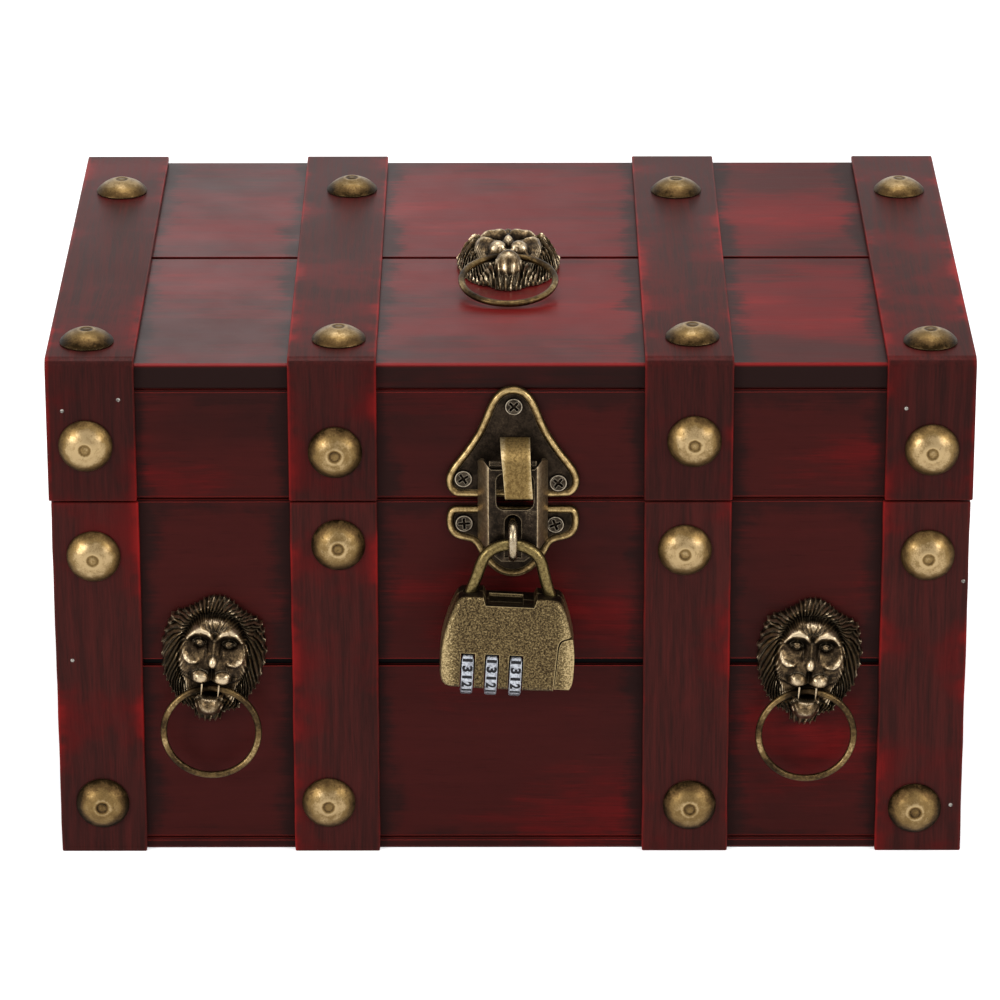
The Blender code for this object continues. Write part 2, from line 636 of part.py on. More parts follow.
def latch_plate(name, front, outline, base, scale, screws, brass):
    """A stamped plate: thin sheet with a raised rim all round and screw heads in it."""
    half, height = scale
    shape = [(LATCH_X + a * half, base + b * height) for a, b in outline]
    out = Vector((0, -1, 0))
    seat = front - FIT_GAP
    frame = ((0, seat, 0), (1, 0, 0), (0, 0, 1), out)
    plate = place(name, prism_mesh(shape, frame, PLATE_SHEET + PLATE_RIM_HEIGHT), brass)
    inside = offset_outline(shape, -PLATE_RIM_WIDTH)
    floor = (0, seat - PLATE_SHEET, 0)
    dish = prism_mesh(inside, (floor, (1, 0, 0), (0, 0, 1), out), PLATE_RIM_HEIGHT + CUT_OVERRUN)
    combine(plate, tool(f"{name}_dish", dish), "DIFFERENCE")
    face = Matrix.Rotation(math.pi / 2, 4, "X")
    heads = []
    for a, b in screws:
        spot = Matrix.Translation((LATCH_X + a * half, seat, base + b * height)) @ face
        low, high = PLATE_SHEET / 2, PLATE_SHEET + PLATE_SCREW_HEIGHT
        profile = [(0, high), (PLATE_SCREW_RADIUS * 0.75, high), (PLATE_SCREW_RADIUS, (low + high) / 2)]
        profile += [(PLATE_SCREW_RADIUS, low), (0, low)]
        head = turned_mesh(profile, 12)
        bmesh.ops.transform(head, matrix=spot, verts=head.verts)
        heads.append(head)
    combine(plate, tool(f"{name}_screws", joined_mesh(heads)), "UNION")
    return plate


def link_strap(plate):
    """The strap of the upper plate, from its slit, in front of the flap's bar, under it and up behind."""
    front, back = FLAP_PIVOT_Y - LINK_FRONT, FLAP_PIVOT_Y + LINK_BACK
    slit, shoulder = FLAP_PIVOT_Z + LINK_SLIT_RISE, FLAP_PIVOT_Z + LINK_SHOULDER_RISE
    sheet_y = LID_FRONT - FIT_GAP - PLATE_SHEET / 2
    path = [
        (sheet_y, slit),
        (sheet_y - PLATE_SHEET, slit - LINK_SHEET / 4),
        (front + LINK_BEND / 2, shoulder),
        (front, shoulder - LINK_BEND * 2),
    ]
    for step in range(5):
        angle = math.pi * step / 4
        drop = LINK_BEND * math.sin(angle) / 2
        path.append((front + LINK_BEND * (1 - math.cos(angle)), LINK_BOTTOM_Z - drop))
    path += [(back, FLAP_PIVOT_Z - LINK_BACK * 2 / 3), (back + LINK_SHEET / 2, FLAP_PIVOT_Z + LINK_END_RISE)]
    left = LATCH_X + LINK_SHIFT - LINK_WIDTH / 2
    frame = ((left, 0, 0), (0, 1, 0), (0, 0, 1), (1, 0, 0))
    strip = prism_mesh(strip_outline(path, LINK_SHEET), frame, LINK_WIDTH)
    combine(plate, tool("link_strip", strip), "UNION")


def slot_outline(width, bottom, top, steps=5):
    """A slot with a round top."""
    radius = width / 2
    turns = [math.pi * k / steps for k in range(steps + 1)]
    arch = [(radius * math.cos(a), top - radius + radius * math.sin(a)) for a in turns]
    return [(-radius, bottom), (radius, bottom), *arch]


def hasp_flap(brass):
    """A channel of sheet with flared flanges bent back, a window at its top bar and a slot for the staple."""
    half = FLAP_FACE_WIDTH / 2
    path = [(-half - FLAP_FLARE, FLAP_DEPTH), (-half, 0), (half, 0), (half + FLAP_FLARE, FLAP_DEPTH)]
    wall = strip_outline([(a, b + FLAP_SHEET / 2) for a, b in path], FLAP_SHEET)
    frame = ((LATCH_X, FLAP_FACE_Y, FLAP_BOTTOM), (1, 0, 0), (0, 1, 0), (0, 0, 1))
    flap = place("hasp_flap", prism_mesh(wall, frame, FLAP_TOP - FLAP_BOTTOM), brass)
    face = ((LATCH_X, FLAP_FACE_Y - CUT_OVERRUN, 0), (1, 0, 0), (0, 0, 1), (0, 1, 0))
    deep = FLAP_DEPTH + 2 * CUT_OVERRUN
    far = half + FLAP_FLARE + CUT_OVERRUN
    over = FLAP_TOP + CUT_OVERRUN
    for side, sign in (("left", -1), ("right", 1)):
        top_corner = [(half, FLANGE_TOP), (far, FLANGE_TOP - FLANGE_CHAMFER / 2), (far, over), (half, over)]
        top_corner = [(sign * a, b) for a, b in top_corner]
        combine(flap, tool(f"flap_top_{side}", prism_mesh(top_corner, face, deep)), "DIFFERENCE")
        low = FLAP_BOTTOM - CUT_OVERRUN
        nose = half - FLAP_TAPER
        low_corner = [(nose, low), (far, low), (far, FLANGE_BOTTOM + FLANGE_CHAMFER)]
        low_corner += [(half, FLANGE_BOTTOM), (nose, FLAP_BOTTOM)]
        low_corner = [(sign * a, b) for a, b in low_corner]
        combine(flap, tool(f"flap_foot_{side}", prism_mesh(low_corner, face, deep)), "DIFFERENCE")
    left, right = WINDOW_SHIFT - WINDOW_WIDTH / 2, WINDOW_SHIFT + WINDOW_WIDTH / 2
    window = [(left, WINDOW_BOTTOM), (right, WINDOW_BOTTOM), (right, WINDOW_TOP), (left, WINDOW_TOP)]
    combine(flap, tool("flap_window", prism_mesh(window, face, deep)), "DIFFERENCE")
    slot = slot_outline(SLOT_WIDTH, SLOT_BOTTOM, SLOT_TOP)
    combine(flap, tool("flap_slot", prism_mesh(slot, face, deep)), "DIFFERENCE")
    lip = [(0, -FLAP_SHEET), (FLAP_SHEET, -FLAP_SHEET), (FLAP_LIP + FLAP_SHEET / 2, -FLAP_SHEET / 3)]
    lip += [(FLAP_LIP, FLAP_SHEET / 2), (0, 0)]
    lip_frame = ((LATCH_X - half + FLAP_SHEET / 2, FLAP_FACE_Y, FLAP_TOP), (0, 1, 0), (0, 0, 1), (1, 0, 0))
    combine(flap, tool("flap_lip", prism_mesh(lip, lip_frame, FLAP_FACE_WIDTH - FLAP_SHEET)), "UNION")
    pivot = Vector((LATCH_X, FLAP_PIVOT_Y, FLAP_PIVOT_Z))
    flap.data.transform(Matrix.Translation(-pivot))
    flap.location = pivot
    return flap


def staple(brass):
    """Two legs out of the lower plate, joined by a bend in front of the shackle."""
    low = STAPLE_BOTTOM + STAPLE_ROD / 2
    high = low + STAPLE_INSIDE + STAPLE_ROD
    radius = (high - low) / 2
    foot = BODY_FRONT - FIT_GAP - PLATE_SHEET - FIT_GAP
    middle = (low + high) / 2
    centre = STAPLE_FRONT_Y + radius
    path = [(LATCH_X, foot, low)]
    for step in range(STAPLE_BEND_STEPS + 1):
        angle = math.pi * step / STAPLE_BEND_STEPS
        path.append((LATCH_X, centre - radius * math.sin(angle), middle - radius * math.cos(angle)))
    path.append((LATCH_X, foot, high))
    smooth(place("latch_staple", swept_mesh(path, STAPLE_ROD / 2, 8, (1, 0, 0)), brass))


# Padlock

def padlock_frame():
    """The padlock's own frame: X across, Z up its legs, its origin where it hangs on the staple."""
    return Matrix.Translation((LATCH_X, PADLOCK_Y, PADLOCK_TOP_Z)) @ Matrix.Rotation(PADLOCK_TILT, 4, "Y")


def shackle(brass, frame):
    arch = []
    for step in range(SHACKLE_STEPS + 1):
        angle = math.pi * step / SHACKLE_STEPS
        pinch = 1 - SHACKLE_PINCH_SHARE * math.sin(4 * min(angle, math.pi - angle))
        arch.append((SHACKLE_HALF * math.cos(angle) * pinch, 0, SHACKLE_RISE * (math.sin(angle) - 1)))
    long_end = (SHACKLE_HALF, 0, -CASE_TOP - LONG_LEG)
    short_end = (-SHACKLE_HALF, 0, -CASE_TOP - SHORT_LEG)
    path = [long_end, *arch, short_end]
    rod = swept_mesh(path, SHACKLE_ROD / 2, SHACKLE_SIDES, (0, 1, 0))
    smooth(place("padlock_shackle", rod, brass, frame))


def case_outline(grow=0.0):
    base = -CASE_TOP - CASE_HEIGHT
    shape = mirrored([(a * CASE_HALF, base + b * CASE_HEIGHT) for a, b in CASE_SHARES])
    return offset_outline(shape, grow) if grow else shape


def case_blank(first, last, round_first, round_last):
    """The case's outline between two depths, with its outer edges rounded over."""
    mesh = prism_mesh(case_outline(), ((0, first, 0), (1, 0, 0), (0, 0, 1), (0, 1, 0)), last - first)
    ends = [y for y, wanted in ((first, round_first), (last, round_last)) if wanted]
    tiny = FIT_GAP / 10
    edges = [e for e in mesh.edges if any(all(abs(v.co.y - y) < tiny for v in e.verts) for y in ends)]
    bmesh.ops.bevel(mesh, geom=edges, offset=CASE_EDGE, segments=3, profile=0.5, affect="EDGES")
    return mesh


def notch_mesh():
    """The shallow notch in the case's top edge, between the shackle's legs."""
    floor, over = -CASE_TOP - NOTCH_DEPTH, -CASE_TOP + CUT_OVERRUN
    wide = NOTCH_HALF + NOTCH_SLOPE * (NOTCH_DEPTH + CUT_OVERRUN) / NOTCH_DEPTH
    shape = [(-NOTCH_HALF, floor), (NOTCH_HALF, floor), (wide, over), (-wide, over)]
    depth = CASE_THICKNESS + 2 * CUT_OVERRUN
    return prism_mesh(shape, ((0, -depth / 2, 0), (1, 0, 0), (0, 0, 1), (0, 1, 0)), depth)


def slider_outline(grow=0.0):
    """The corner of the case that the release slider fills."""
    right = CASE_HALF + CUT_OVERRUN
    low = -CASE_TOP - CASE_HEIGHT
    inner = CASE_HALF - SLIDER_WIDTH
    top = low + SLIDER_HEIGHT
    under = low - CUT_OVERRUN
    shape = [(inner - SLIDER_DRAFT, under), (right, under), (right, top + SLIDER_DRAFT)]
    shape += [(inner + SLIDER_CORNER, top), (inner + SLIDER_CORNER / 3, top - SLIDER_CORNER / 3)]
    shape.append((inner, top - SLIDER_CORNER))
    return offset_outline(shape, grow) if grow else shape


def tongue_box(grow, travel):
    low = -CASE_TOP - CASE_HEIGHT + SLIDER_TONGUE_RISE
    inner = CASE_HALF - SLIDER_WIDTH - SLIDER_TONGUE
    half = SLIDER_TONGUE_HEIGHT / 2
    return box_mesh(
        (inner - grow, -half - grow, low - grow),
        (CASE_HALF - SLIDER_WIDTH + SLIDER_DRAFT + travel, half + grow, low + SLIDER_TONGUE_HEIGHT + grow),
    )


def padlock_case(brass, steel, silver, frame):
    """Two shells over the shackle's legs, the dials on their spindle and the release slider."""
    half = CASE_THICKNESS / 2
    split = FIT_GAP / 2
    base = -CASE_TOP - CASE_HEIGHT
    dial_z = base + DIAL_ABOVE_BOTTOM
    dial_xs = [DIAL_MIDDLE_X + k * DIAL_PITCH for k in (-1, 0, 1)]
    along = Matrix.Rotation(math.pi / 2, 4, "Y")
    leg = SHACKLE_ROD / 2 + FIT_GAP
    over = -CASE_TOP + CUT_OVERRUN
    bores = []
    for x, length in ((SHACKLE_HALF, LONG_LEG), (-SHACKLE_HALF, SHORT_LEG)):
        end = -CASE_TOP - length - 2 * FIT_GAP
        bores.append(rod_mesh(leg, end, over, BORE_SIDES, Matrix.Translation((x, 0, 0))))
    bores = tool("leg_bores", joined_mesh(bores), frame)
    wells = []
    for x in dial_xs:
        spot = Matrix.Translation((x, 0, dial_z)) @ along
        reach = DIAL_WIDTH / 2 + FIT_GAP
        wells.append(rod_mesh(DIAL_RADIUS + FIT_GAP, -reach, reach, DIAL_SIDES, spot))
    wells = tool("dial_wells", joined_mesh(wells), frame)
    spindle_low = dial_xs[0] - DIAL_WIDTH / 2 - SPINDLE_OVERHANG
    spindle_high = dial_xs[-1] + DIAL_WIDTH / 2 + SPINDLE_OVERHANG
    spot = Matrix.Translation((0, 0, dial_z)) @ along
    seat = rod_mesh(SPINDLE_RADIUS + FIT_GAP, spindle_low - FIT_GAP, spindle_high + FIT_GAP, BORE_SIDES, spot)
    seat = tool("spindle_seat", seat, frame)
    slider_frame = ((0, -half - CUT_OVERRUN, 0), (1, 0, 0), (0, 0, 1), (0, 1, 0))
    slider_depth = CASE_THICKNESS + 2 * CUT_OVERRUN
    corner = tool("slider_corner", prism_mesh(slider_outline(FIT_GAP), slider_frame, slider_depth), frame)
    pocket = tool("tongue_pocket", tongue_box(FIT_GAP, SLIDER_WIDTH / 2), frame)
    notch = tool("top_notch", notch_mesh(), frame)
    front = place("padlock_front_shell", case_blank(-half, -split, True, False), brass, frame)
    back = place("padlock_back_shell", case_blank(split, half, False, True), brass, frame)
    for shell in (front, back):
        for cutter in (notch, bores, wells, seat, corner, pocket):
            combine(shell, cutter, "DIFFERENCE")
        smooth(shell)
    spindle = rod_mesh(SPINDLE_RADIUS, spindle_low, spindle_high, BORE_SIDES, spot)
    smooth(place("dial_spindle", spindle, steel, frame))
    for number, x in enumerate(dial_xs, 1):
        bore = SPINDLE_RADIUS + FIT_GAP
        w = DIAL_WIDTH / 2
        profile = [(bore, w), (DIAL_RADIUS - DIAL_EDGE, w), (DIAL_RADIUS, w - DIAL_EDGE)]
        profile += [(DIAL_RADIUS, DIAL_EDGE - w), (DIAL_RADIUS - DIAL_EDGE, -w), (bore, -w)]
        spot = frame @ Matrix.Translation((x, 0, dial_z)) @ along
        smooth(place(f"dial_{number}", turned_mesh(profile, DIAL_SIDES, closed=True), silver, spot))
    slider = prism_mesh(slider_outline(), slider_frame, slider_depth)
    slider = place("release_slider", slider, brass, frame)
    combine(slider, tool("slider_blank", case_blank(-half, half, True, True), frame), "INTERSECT")
    combine(slider, tool("slider_tongue", tongue_box(0, SLIDER_DRAFT), frame), "UNION")
    smooth(slider)


# Lion head pulls

def bump(u, v, shape):
    """A smooth swelling, mirrored to both halves of the face."""
    across, up, wide, tall, rise = shape
    du, dv = (abs(u) - across) / wide, (v - up) / tall
    return rise * math.exp(-du * du - dv * dv)


def lion_relief(u, v, share, turn):
    """How far the head stands out at a point; share is 0 in its middle and 1 at its edge."""
    face = math.hypot(u / FACE_SHARES[0], (v - FACE_RISE_SHARE) / FACE_SHARES[1])
    in_face = 1 / (1 + math.exp(12 * (face - 1)))
    crown = LION_EDGE + LION_CROWN * (1 - share ** 4)
    wave = math.cos(math.tau * LION_LOCKS * turn + LOCK_SWIRL * share)
    locks = LOCK_RIDGE * wave * (1 - in_face) * min(1, 4 * (1 - share))
    bumps = LION_RELIEF * sum(bump(u, v, shape) for shape in LION_BUMP_SHARES)
    return crown + FACE_SWELL * in_face + locks + bumps


def outline_point(turn):
    """A point on the head's outline; turn runs from 0 at the crown, clockwise, to 1."""
    half = turn * 2 if turn <= 0.5 else (1 - turn) * 2
    place_along = half * (len(LION_OUTLINE_SHARES) - 1)
    k = min(int(place_along), len(LION_OUTLINE_SHARES) - 2)
    first, second = LION_OUTLINE_SHARES[k], LION_OUTLINE_SHARES[k + 1]
    t = place_along - k
    u = first[0] + (second[0] - first[0]) * t
    v = first[1] + (second[1] - first[1]) * t
    return (u if turn <= 0.5 else -u), v


def lion_mesh():
    """The head as rings of points between its middle and its outline, with a flat back."""
    mesh = bmesh.new()
    centre = LION_CENTRE_RISE / LION_HALF
    rings = [[mesh.verts.new((0, centre * LION_HALF, lion_relief(0, centre, 0, 0)))]]
    for share in (*LION_RING_SHARES, None):
        ring = []
        for k in range(LION_SIDES):
            turn = k / LION_SIDES
            u, v = outline_point(turn)
            cut = 1 - LOCK_CUT_SHARE * (1 - math.cos(math.tau * LION_LOCKS * turn)) / 2
            reach = (share or 1) * cut
            u, v = u * reach, centre + (v - centre) * reach
            height = lion_relief(u, v, share, turn) if share else 0
            ring.append(mesh.verts.new((u * LION_HALF, v * LION_HALF, height)))
        rings.append(ring)
    for first, second in zip(rings, rings[1:]):
        for k in range(LION_SIDES):
            corners = [first[k % len(first)], second[k]]
            corners += [second[(k + 1) % LION_SIDES], first[(k + 1) % len(first)]]
            mesh.faces.new(list(dict.fromkeys(corners)))
    mesh.faces.new(rings[-1])
    return mesh


def channel_mesh():
    """The space that the ring's wire sweeps through the mouth as it swings, with its clearance."""
    profile = []
    for step in range(CHANNEL_STEPS + 1):
        across = CHANNEL_HALF * (2 * step / CHANNEL_STEPS - 1)
        sag = RING_RADIUS - math.sqrt(RING_RADIUS ** 2 - across ** 2)
        profile.append((RING_WIRE + FIT_GAP + sag, across))
    return turned_mesh([(0, -CHANNEL_HALF), *profile, (0, CHANNEL_HALF)], CHANNEL_SIDES)


def lion(name, ring_name, backing, face, lean, swing, brass):
    """A lion head on its backing and the ring in its mouth; face is its frame: X across, Y up, Z outwards."""
    head_frame = face @ Matrix.Rotation(-lean, 4, "Z")
    head = place(name, lion_mesh(), brass, head_frame)
    mouth = face @ Matrix.Translation((0, 0, RING_OUT))
    channel = tool(f"{name}_channel", channel_mesh(), mouth @ Matrix.Rotation(math.pi / 2, 4, "Y"))
    combine(head, channel, "DIFFERENCE")
    low = (-MOUTH_HALF, -MOUTH_BELOW, RING_OUT - RING_WIRE / 2)
    high = (MOUTH_HALF, MOUTH_ABOVE, LION_RELIEF + LION_EDGE + CUT_OVERRUN)
    combine(head, tool(f"{name}_mouth", box_mesh(low, high), head_frame), "DIFFERENCE")
    post = rod_mesh(LION_POST_RADIUS, -LION_POST_LENGTH, LION_EDGE, POST_SIDES, face)
    combine(head, tool(f"{name}_post", post), "UNION")
    hole = rod_mesh(LION_POST_RADIUS + FIT_GAP, -LION_POST_LENGTH - FIT_GAP, CUT_OVERRUN, POST_SIDES, face)
    combine(backing, tool(f"{name}_hole", hole), "DIFFERENCE")
    smooth(head, 50.0)
    path = []
    for step in range(RING_STEPS):
        angle = math.tau * step / RING_STEPS
        path.append((RING_RADIUS * math.sin(angle), RING_RADIUS * (math.cos(angle) - 1), 0))
    ring = swept_mesh(path, RING_WIRE, RING_SIDES, (0, 0, 1), closed=True)
    smooth(place(ring_name, ring, brass, mouth @ Matrix.Rotation(swing, 4, "X")))


def lions(brass, front_wall, top_board):
    on_front = Matrix.Rotation(math.pi / 2, 4, "X")
    seat = BODY_FRONT - FIT_GAP
    middle = (BODY_STRAP_X + INNER_STRAP_X) / 2
    room = BODY_STRAP_X - INNER_STRAP_X - STRAP_WIDTH - 2 * LION_HALF
    left = -middle + LION_LEFT_SHARE * room
    right = middle + LION_RIGHT_SHARE * room
    for name, ring_name, x, z, lean in (
        ("lion_left", "ring_left", left, LION_LEFT_RISE, LION_LEFT_LEAN),
        ("lion_right", "ring_right", right, LION_RIGHT_RISE, LION_RIGHT_LEAN),
    ):
        lion(name, ring_name, front_wall, Matrix.Translation((x, seat, z)) @ on_front, lean, 0.0, brass)
    rest = math.asin((RING_OUT - RING_WIRE) / (2 * RING_RADIUS))
    top = Matrix.Translation((LION_TOP_SHIFT, LID_FRONT + LION_TOP_INSET, LID_TOP + FIT_GAP))
    lion("lion_top", "ring_top", top_board, top, 0.0, rest, brass)


def main():
    for old in list(bpy.data.objects):
        bpy.data.objects.remove(old)
    wood = finish("stained_wood", (0.075, 0.010, 0.010), 0.45, 0.0)
    strap_wood = finish("strap_wood", (0.050, 0.010, 0.009), 0.5, 0.0)
    brass = finish("antique_brass", (0.30, 0.21, 0.09), 0.42, 1.0)
    steel = finish("steel", (0.45, 0.45, 0.46), 0.35, 1.0)
    silver = finish("dial_silver", (0.62, 0.62, 0.64), 0.3, 1.0)
    front_wall = body_boards(wood)
    top_board, rail = lid_boards(wood)
    body_strap_list = body_straps(strap_wood)
    lid_strap_list = lid_straps(strap_wood)
    studs(brass, front_wall, top_board, rail, body_strap_list, lid_strap_list)
    hinges(brass)
    upper = latch_plate(
        "latch_upper_plate", LID_FRONT, mirrored(UPPER_PLATE_SHARES), UPPER_PLATE_BASE,
        (UPPER_PLATE_HALF, UPPER_PLATE_HEIGHT), UPPER_SCREW_SHARES, brass,
    )
    link_strap(upper)
    latch_plate(
        "latch_lower_plate", BODY_FRONT, mirrored(((0.0, 0.0), *LOWER_PLATE_SHARES)), LOWER_PLATE_BASE,
        (LOWER_PLATE_HALF, LOWER_PLATE_HEIGHT), LOWER_SCREW_SHARES, brass,
    )
    hasp_flap(brass)
    staple(brass)
    frame = padlock_frame()
    shackle(brass, frame)
    padlock_case(brass, steel, silver, frame)
    lions(brass, front_wall, top_board)


main()
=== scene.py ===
"""The looks of the small wooden chest: stained boards, worn battens, and antique brass fittings.

The fittings are its studs, latch, padlock and three lion pulls.
Pieces are modelled in millimetres in the part's own frame, and brought to metres when they are seated.
"""
import math
import bpy
import numpy as np
from mathutils import Matrix, Vector, noise


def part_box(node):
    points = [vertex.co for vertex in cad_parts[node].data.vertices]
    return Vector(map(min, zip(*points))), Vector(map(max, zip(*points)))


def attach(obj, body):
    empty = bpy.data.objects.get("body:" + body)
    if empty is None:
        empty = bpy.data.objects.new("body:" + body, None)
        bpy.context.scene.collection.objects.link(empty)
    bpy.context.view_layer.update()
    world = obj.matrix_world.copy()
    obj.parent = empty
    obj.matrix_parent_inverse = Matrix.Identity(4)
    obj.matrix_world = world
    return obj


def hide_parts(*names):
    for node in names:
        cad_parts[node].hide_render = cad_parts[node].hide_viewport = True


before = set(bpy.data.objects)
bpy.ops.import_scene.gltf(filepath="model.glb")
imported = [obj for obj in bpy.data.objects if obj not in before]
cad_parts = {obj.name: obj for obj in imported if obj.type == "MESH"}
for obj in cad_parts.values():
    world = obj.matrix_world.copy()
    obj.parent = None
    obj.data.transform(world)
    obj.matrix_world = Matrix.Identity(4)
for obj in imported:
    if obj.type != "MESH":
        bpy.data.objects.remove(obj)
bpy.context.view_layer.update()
MM = Matrix.Scale(0.001, 4)
BOARD_FRONT = -76.5
LID_FRONT = -76.8
BOARD_TOP = 127.2
BODY_TOP = 92.0
STRAP_FRONT_FACE = -78.0
STRAP_HALF = 10.55


def moved(x, y, z):
    return Matrix.Translation((x, y, z))


def spun(angle, axis="Z"):
    return Matrix.Rotation(angle, 4, axis)


TURN_OUT = spun(math.pi / 2, "X")


# Making nodes

def fill(node, sockets):
    """Put a value or a link into each socket named."""
    for key, value in sockets.items():
        if isinstance(value, bpy.types.NodeSocket):
            node.id_data.links.new(value, node.inputs[key])
        else:
            node.inputs[key].default_value = value
    return node


def add(tree, kind, sockets=None, **settings):
    """One node, with its settings, and a value or a link for each socket named."""
    node = tree.nodes.new(kind)
    for key, value in settings.items():
        setattr(node, key, value)
    return fill(node, sockets or {})


def tree_of(*values):
    """The tree of the first of these values that is a socket."""
    return next(value.id_data for value in values if isinstance(value, bpy.types.NodeSocket))


def maths(operation, *values):
    return add(tree_of(*values), "ShaderNodeMath", dict(enumerate(values)), operation=operation).outputs[0]


def plus(first, second):
    return maths("ADD", first, second)


def less(first, second):
    return maths("SUBTRACT", first, second)


def times(first, second):
    return maths("MULTIPLY", first, second)


def scaled(value, factor, start):
    return maths("MULTIPLY_ADD", value, factor, start)


def larger(first, second):
    return maths("MAXIMUM", first, second)


def apart(first, second):
    """How far two values are from each other."""
    return maths("ABSOLUTE", less(first, second))


def ramp(value, low, high, start=0.0, end=1.0):
    """A soft step: start below low, end above high."""
    sockets = {"Value": value, "From Min": low, "From Max": high, "To Min": start, "To Max": end}
    return add(tree_of(value), "ShaderNodeMapRange", sockets, interpolation_type="SMOOTHSTEP").outputs["Result"]


def mix(share, *pair):
    """A blend of two colours, each a link or three numbers."""
    first, second = ((*colour, 1.0) if isinstance(colour, tuple) else colour for colour in pair)
    sockets = {0: share, 6: first, 7: second}
    return add(tree_of(share, first, second), "ShaderNodeMix", sockets, data_type="RGBA").outputs[2]


def clouds(place, scale, detail=4.0, rough=0.55, stretch=None):
    """Noise between 0 and 1; scale is in spots per metre."""
    tree = tree_of(place)
    if stretch:
        place = add(tree, "ShaderNodeMapping", {"Vector": place, "Scale": stretch}).outputs[0]
    sockets = {"Vector": place, "Scale": scale, "Detail": detail, "Roughness": rough}
    return add(tree, "ShaderNodeTexNoise", sockets).outputs[0]


def coordinates(place):
    """The X, Y and Z of a place."""
    return add(tree_of(place), "ShaderNodeSeparateXYZ", {0: place}).outputs


def group(name, inputs):
    """A new node group: its tree, and what it is given."""
    tree = bpy.data.node_groups.new(name, "ShaderNodeTree")
    for label, value in inputs.items():
        kind = "NodeSocketVector" if isinstance(value, tuple) else "NodeSocketFloat"
        tree.interface.new_socket(label, in_out="INPUT", socket_type=kind).default_value = value
    return tree, tree.nodes.new("NodeGroupInput").outputs


def ended(tree, **results):
    """End a node group with its named results."""
    for label in results:
        tree.interface.new_socket(label, in_out="OUTPUT", socket_type="NodeSocketFloat")
    fill(tree.nodes.new("NodeGroupOutput"), results)
    return tree


# Shared effects

ORIGIN = (0.0, 0.0, 0.0)
OUTER_STRAPS = (0.0891, 0.1102)
INNER_STRAPS = (0.03195, 0.05305)


def make_wood_grain():
    """Grain that runs along the X of the place it is given: streaks, broad patches and pores."""
    tree, given = group("wood_grain", {"Place": ORIGIN})
    place = given["Place"]
    bend = times(less(clouds(place, 30, 2.0, 0.5, (0.4, 1.0, 1.0)), 0.5), 0.004)
    shift = add(tree, "ShaderNodeCombineXYZ", {1: bend, 2: bend}).outputs[0]
    bent = add(tree, "ShaderNodeVectorMath", {0: place, 1: shift}, operation="ADD").outputs[0]
    broad = clouds(bent, 420, 5.0, 0.65, (0.05, 1.0, 1.0))
    fine = clouds(bent, 1900, 3.0, 0.7, (0.045, 1.0, 1.0))
    patches = clouds(place, 22, 5.0, 0.58, (0.5, 1.2, 1.2))
    pores = ramp(clouds(bent, 3600, 2.0, 0.6, (0.03, 1.0, 1.0)), 0.62, 0.72)
    return ended(tree, Streaks=scaled(broad, 0.55, times(fine, 0.45)), Patches=patches, Pores=pores)


def make_strap_distance():
    """How far a place is from the nearest long edge of a strap, counted on both sides of the middle."""
    tree, given = group("strap_distance", {"Across": 0.0})
    across = maths("ABSOLUTE", given["Across"])
    first, *others = [apart(across, line) for line in OUTER_STRAPS + INNER_STRAPS]
    for other in others:
        first = maths("MINIMUM", first, other)
    return ended(tree, Distance=first)


def make_worn_edge():
    """Where an edge has been rubbed: full on sharp edges, broken up by the breaks."""
    tree, given = group("worn_edge", {"Place": ORIGIN, "Width": 0.0004, "Breaks": 300.0, "Cover": 0.5})
    soft = add(tree, "ShaderNodeBevel", {"Radius": given["Width"]}, samples=6).outputs[0]
    true = add(tree, "ShaderNodeNewGeometry").outputs["True Normal"]
    turn = add(tree, "ShaderNodeVectorMath", {0: soft, 1: true}, operation="DOT_PRODUCT").outputs["Value"]
    edge = ramp(less(1.0, turn), 0.015, 0.16)
    breaks = clouds(given["Place"], given["Breaks"], 4.0, 0.6)
    bare = less(1.0, given["Cover"])
    return ended(tree, Mask=times(edge, ramp(breaks, less(bare, 0.12), plus(bare, 0.12))))


def make_patina():
    """Tarnish on brass: mottling, fine pits, and how deep a place lies in a corner."""
    tree, given = group("patina", {"Place": ORIGIN, "Mottle": 600.0, "Reach": 0.0015})
    place = given["Place"]
    coarse = clouds(place, given["Mottle"], 6.0, 0.65)
    fine = clouds(place, 2600, 3.0, 0.7)
    mottle = ramp(scaled(coarse, 0.65, times(fine, 0.35)), 0.34, 0.66)
    pits = ramp(clouds(place, 1500, 2.0, 0.5), 0.66, 0.74)
    open_sky = add(tree, "ShaderNodeAmbientOcclusion", {"Distance": given["Reach"]}, samples=8).outputs["AO"]
    return ended(tree, Mottle=mottle, Pits=pits, Recess=ramp(open_sky, 0.35, 0.95, 1.0, 0.0))


WOOD_GRAIN = make_wood_grain()
STRAP_DISTANCE = make_strap_distance()
WORN_EDGE = make_worn_edge()
PATINA = make_patina()


def use(effect, **sockets):
    """A shared effect's outputs, with values or links for its inputs."""
    return add(tree_of(*sockets.values()), "ShaderNodeGroup", sockets, node_tree=effect).outputs


def new_finish(name):
    """A material with its tree and shader, and its object coordinates."""
    material = bpy.data.materials.new(name)
    material.use_nodes = True
    tree = material.node_tree
    shader = tree.nodes["Principled BSDF"]
    place = tree.nodes.new("ShaderNodeTexCoord").outputs["Object"]
    return material, tree, shader, place


def join_shader(shader, colour, roughness, height, strength, distance=0.0002, **levels):
    """Give a shader its colour, roughness and bumps, and any other level by its socket's name."""
    bumps = {"Height": height, "Strength": strength, "Distance": distance}
    normal = add(shader.id_data, "ShaderNodeBump", bumps).outputs[0]
    fill(shader, {"Base Color": colour, "Roughness": roughness, "Normal": normal, **levels})


# Wood

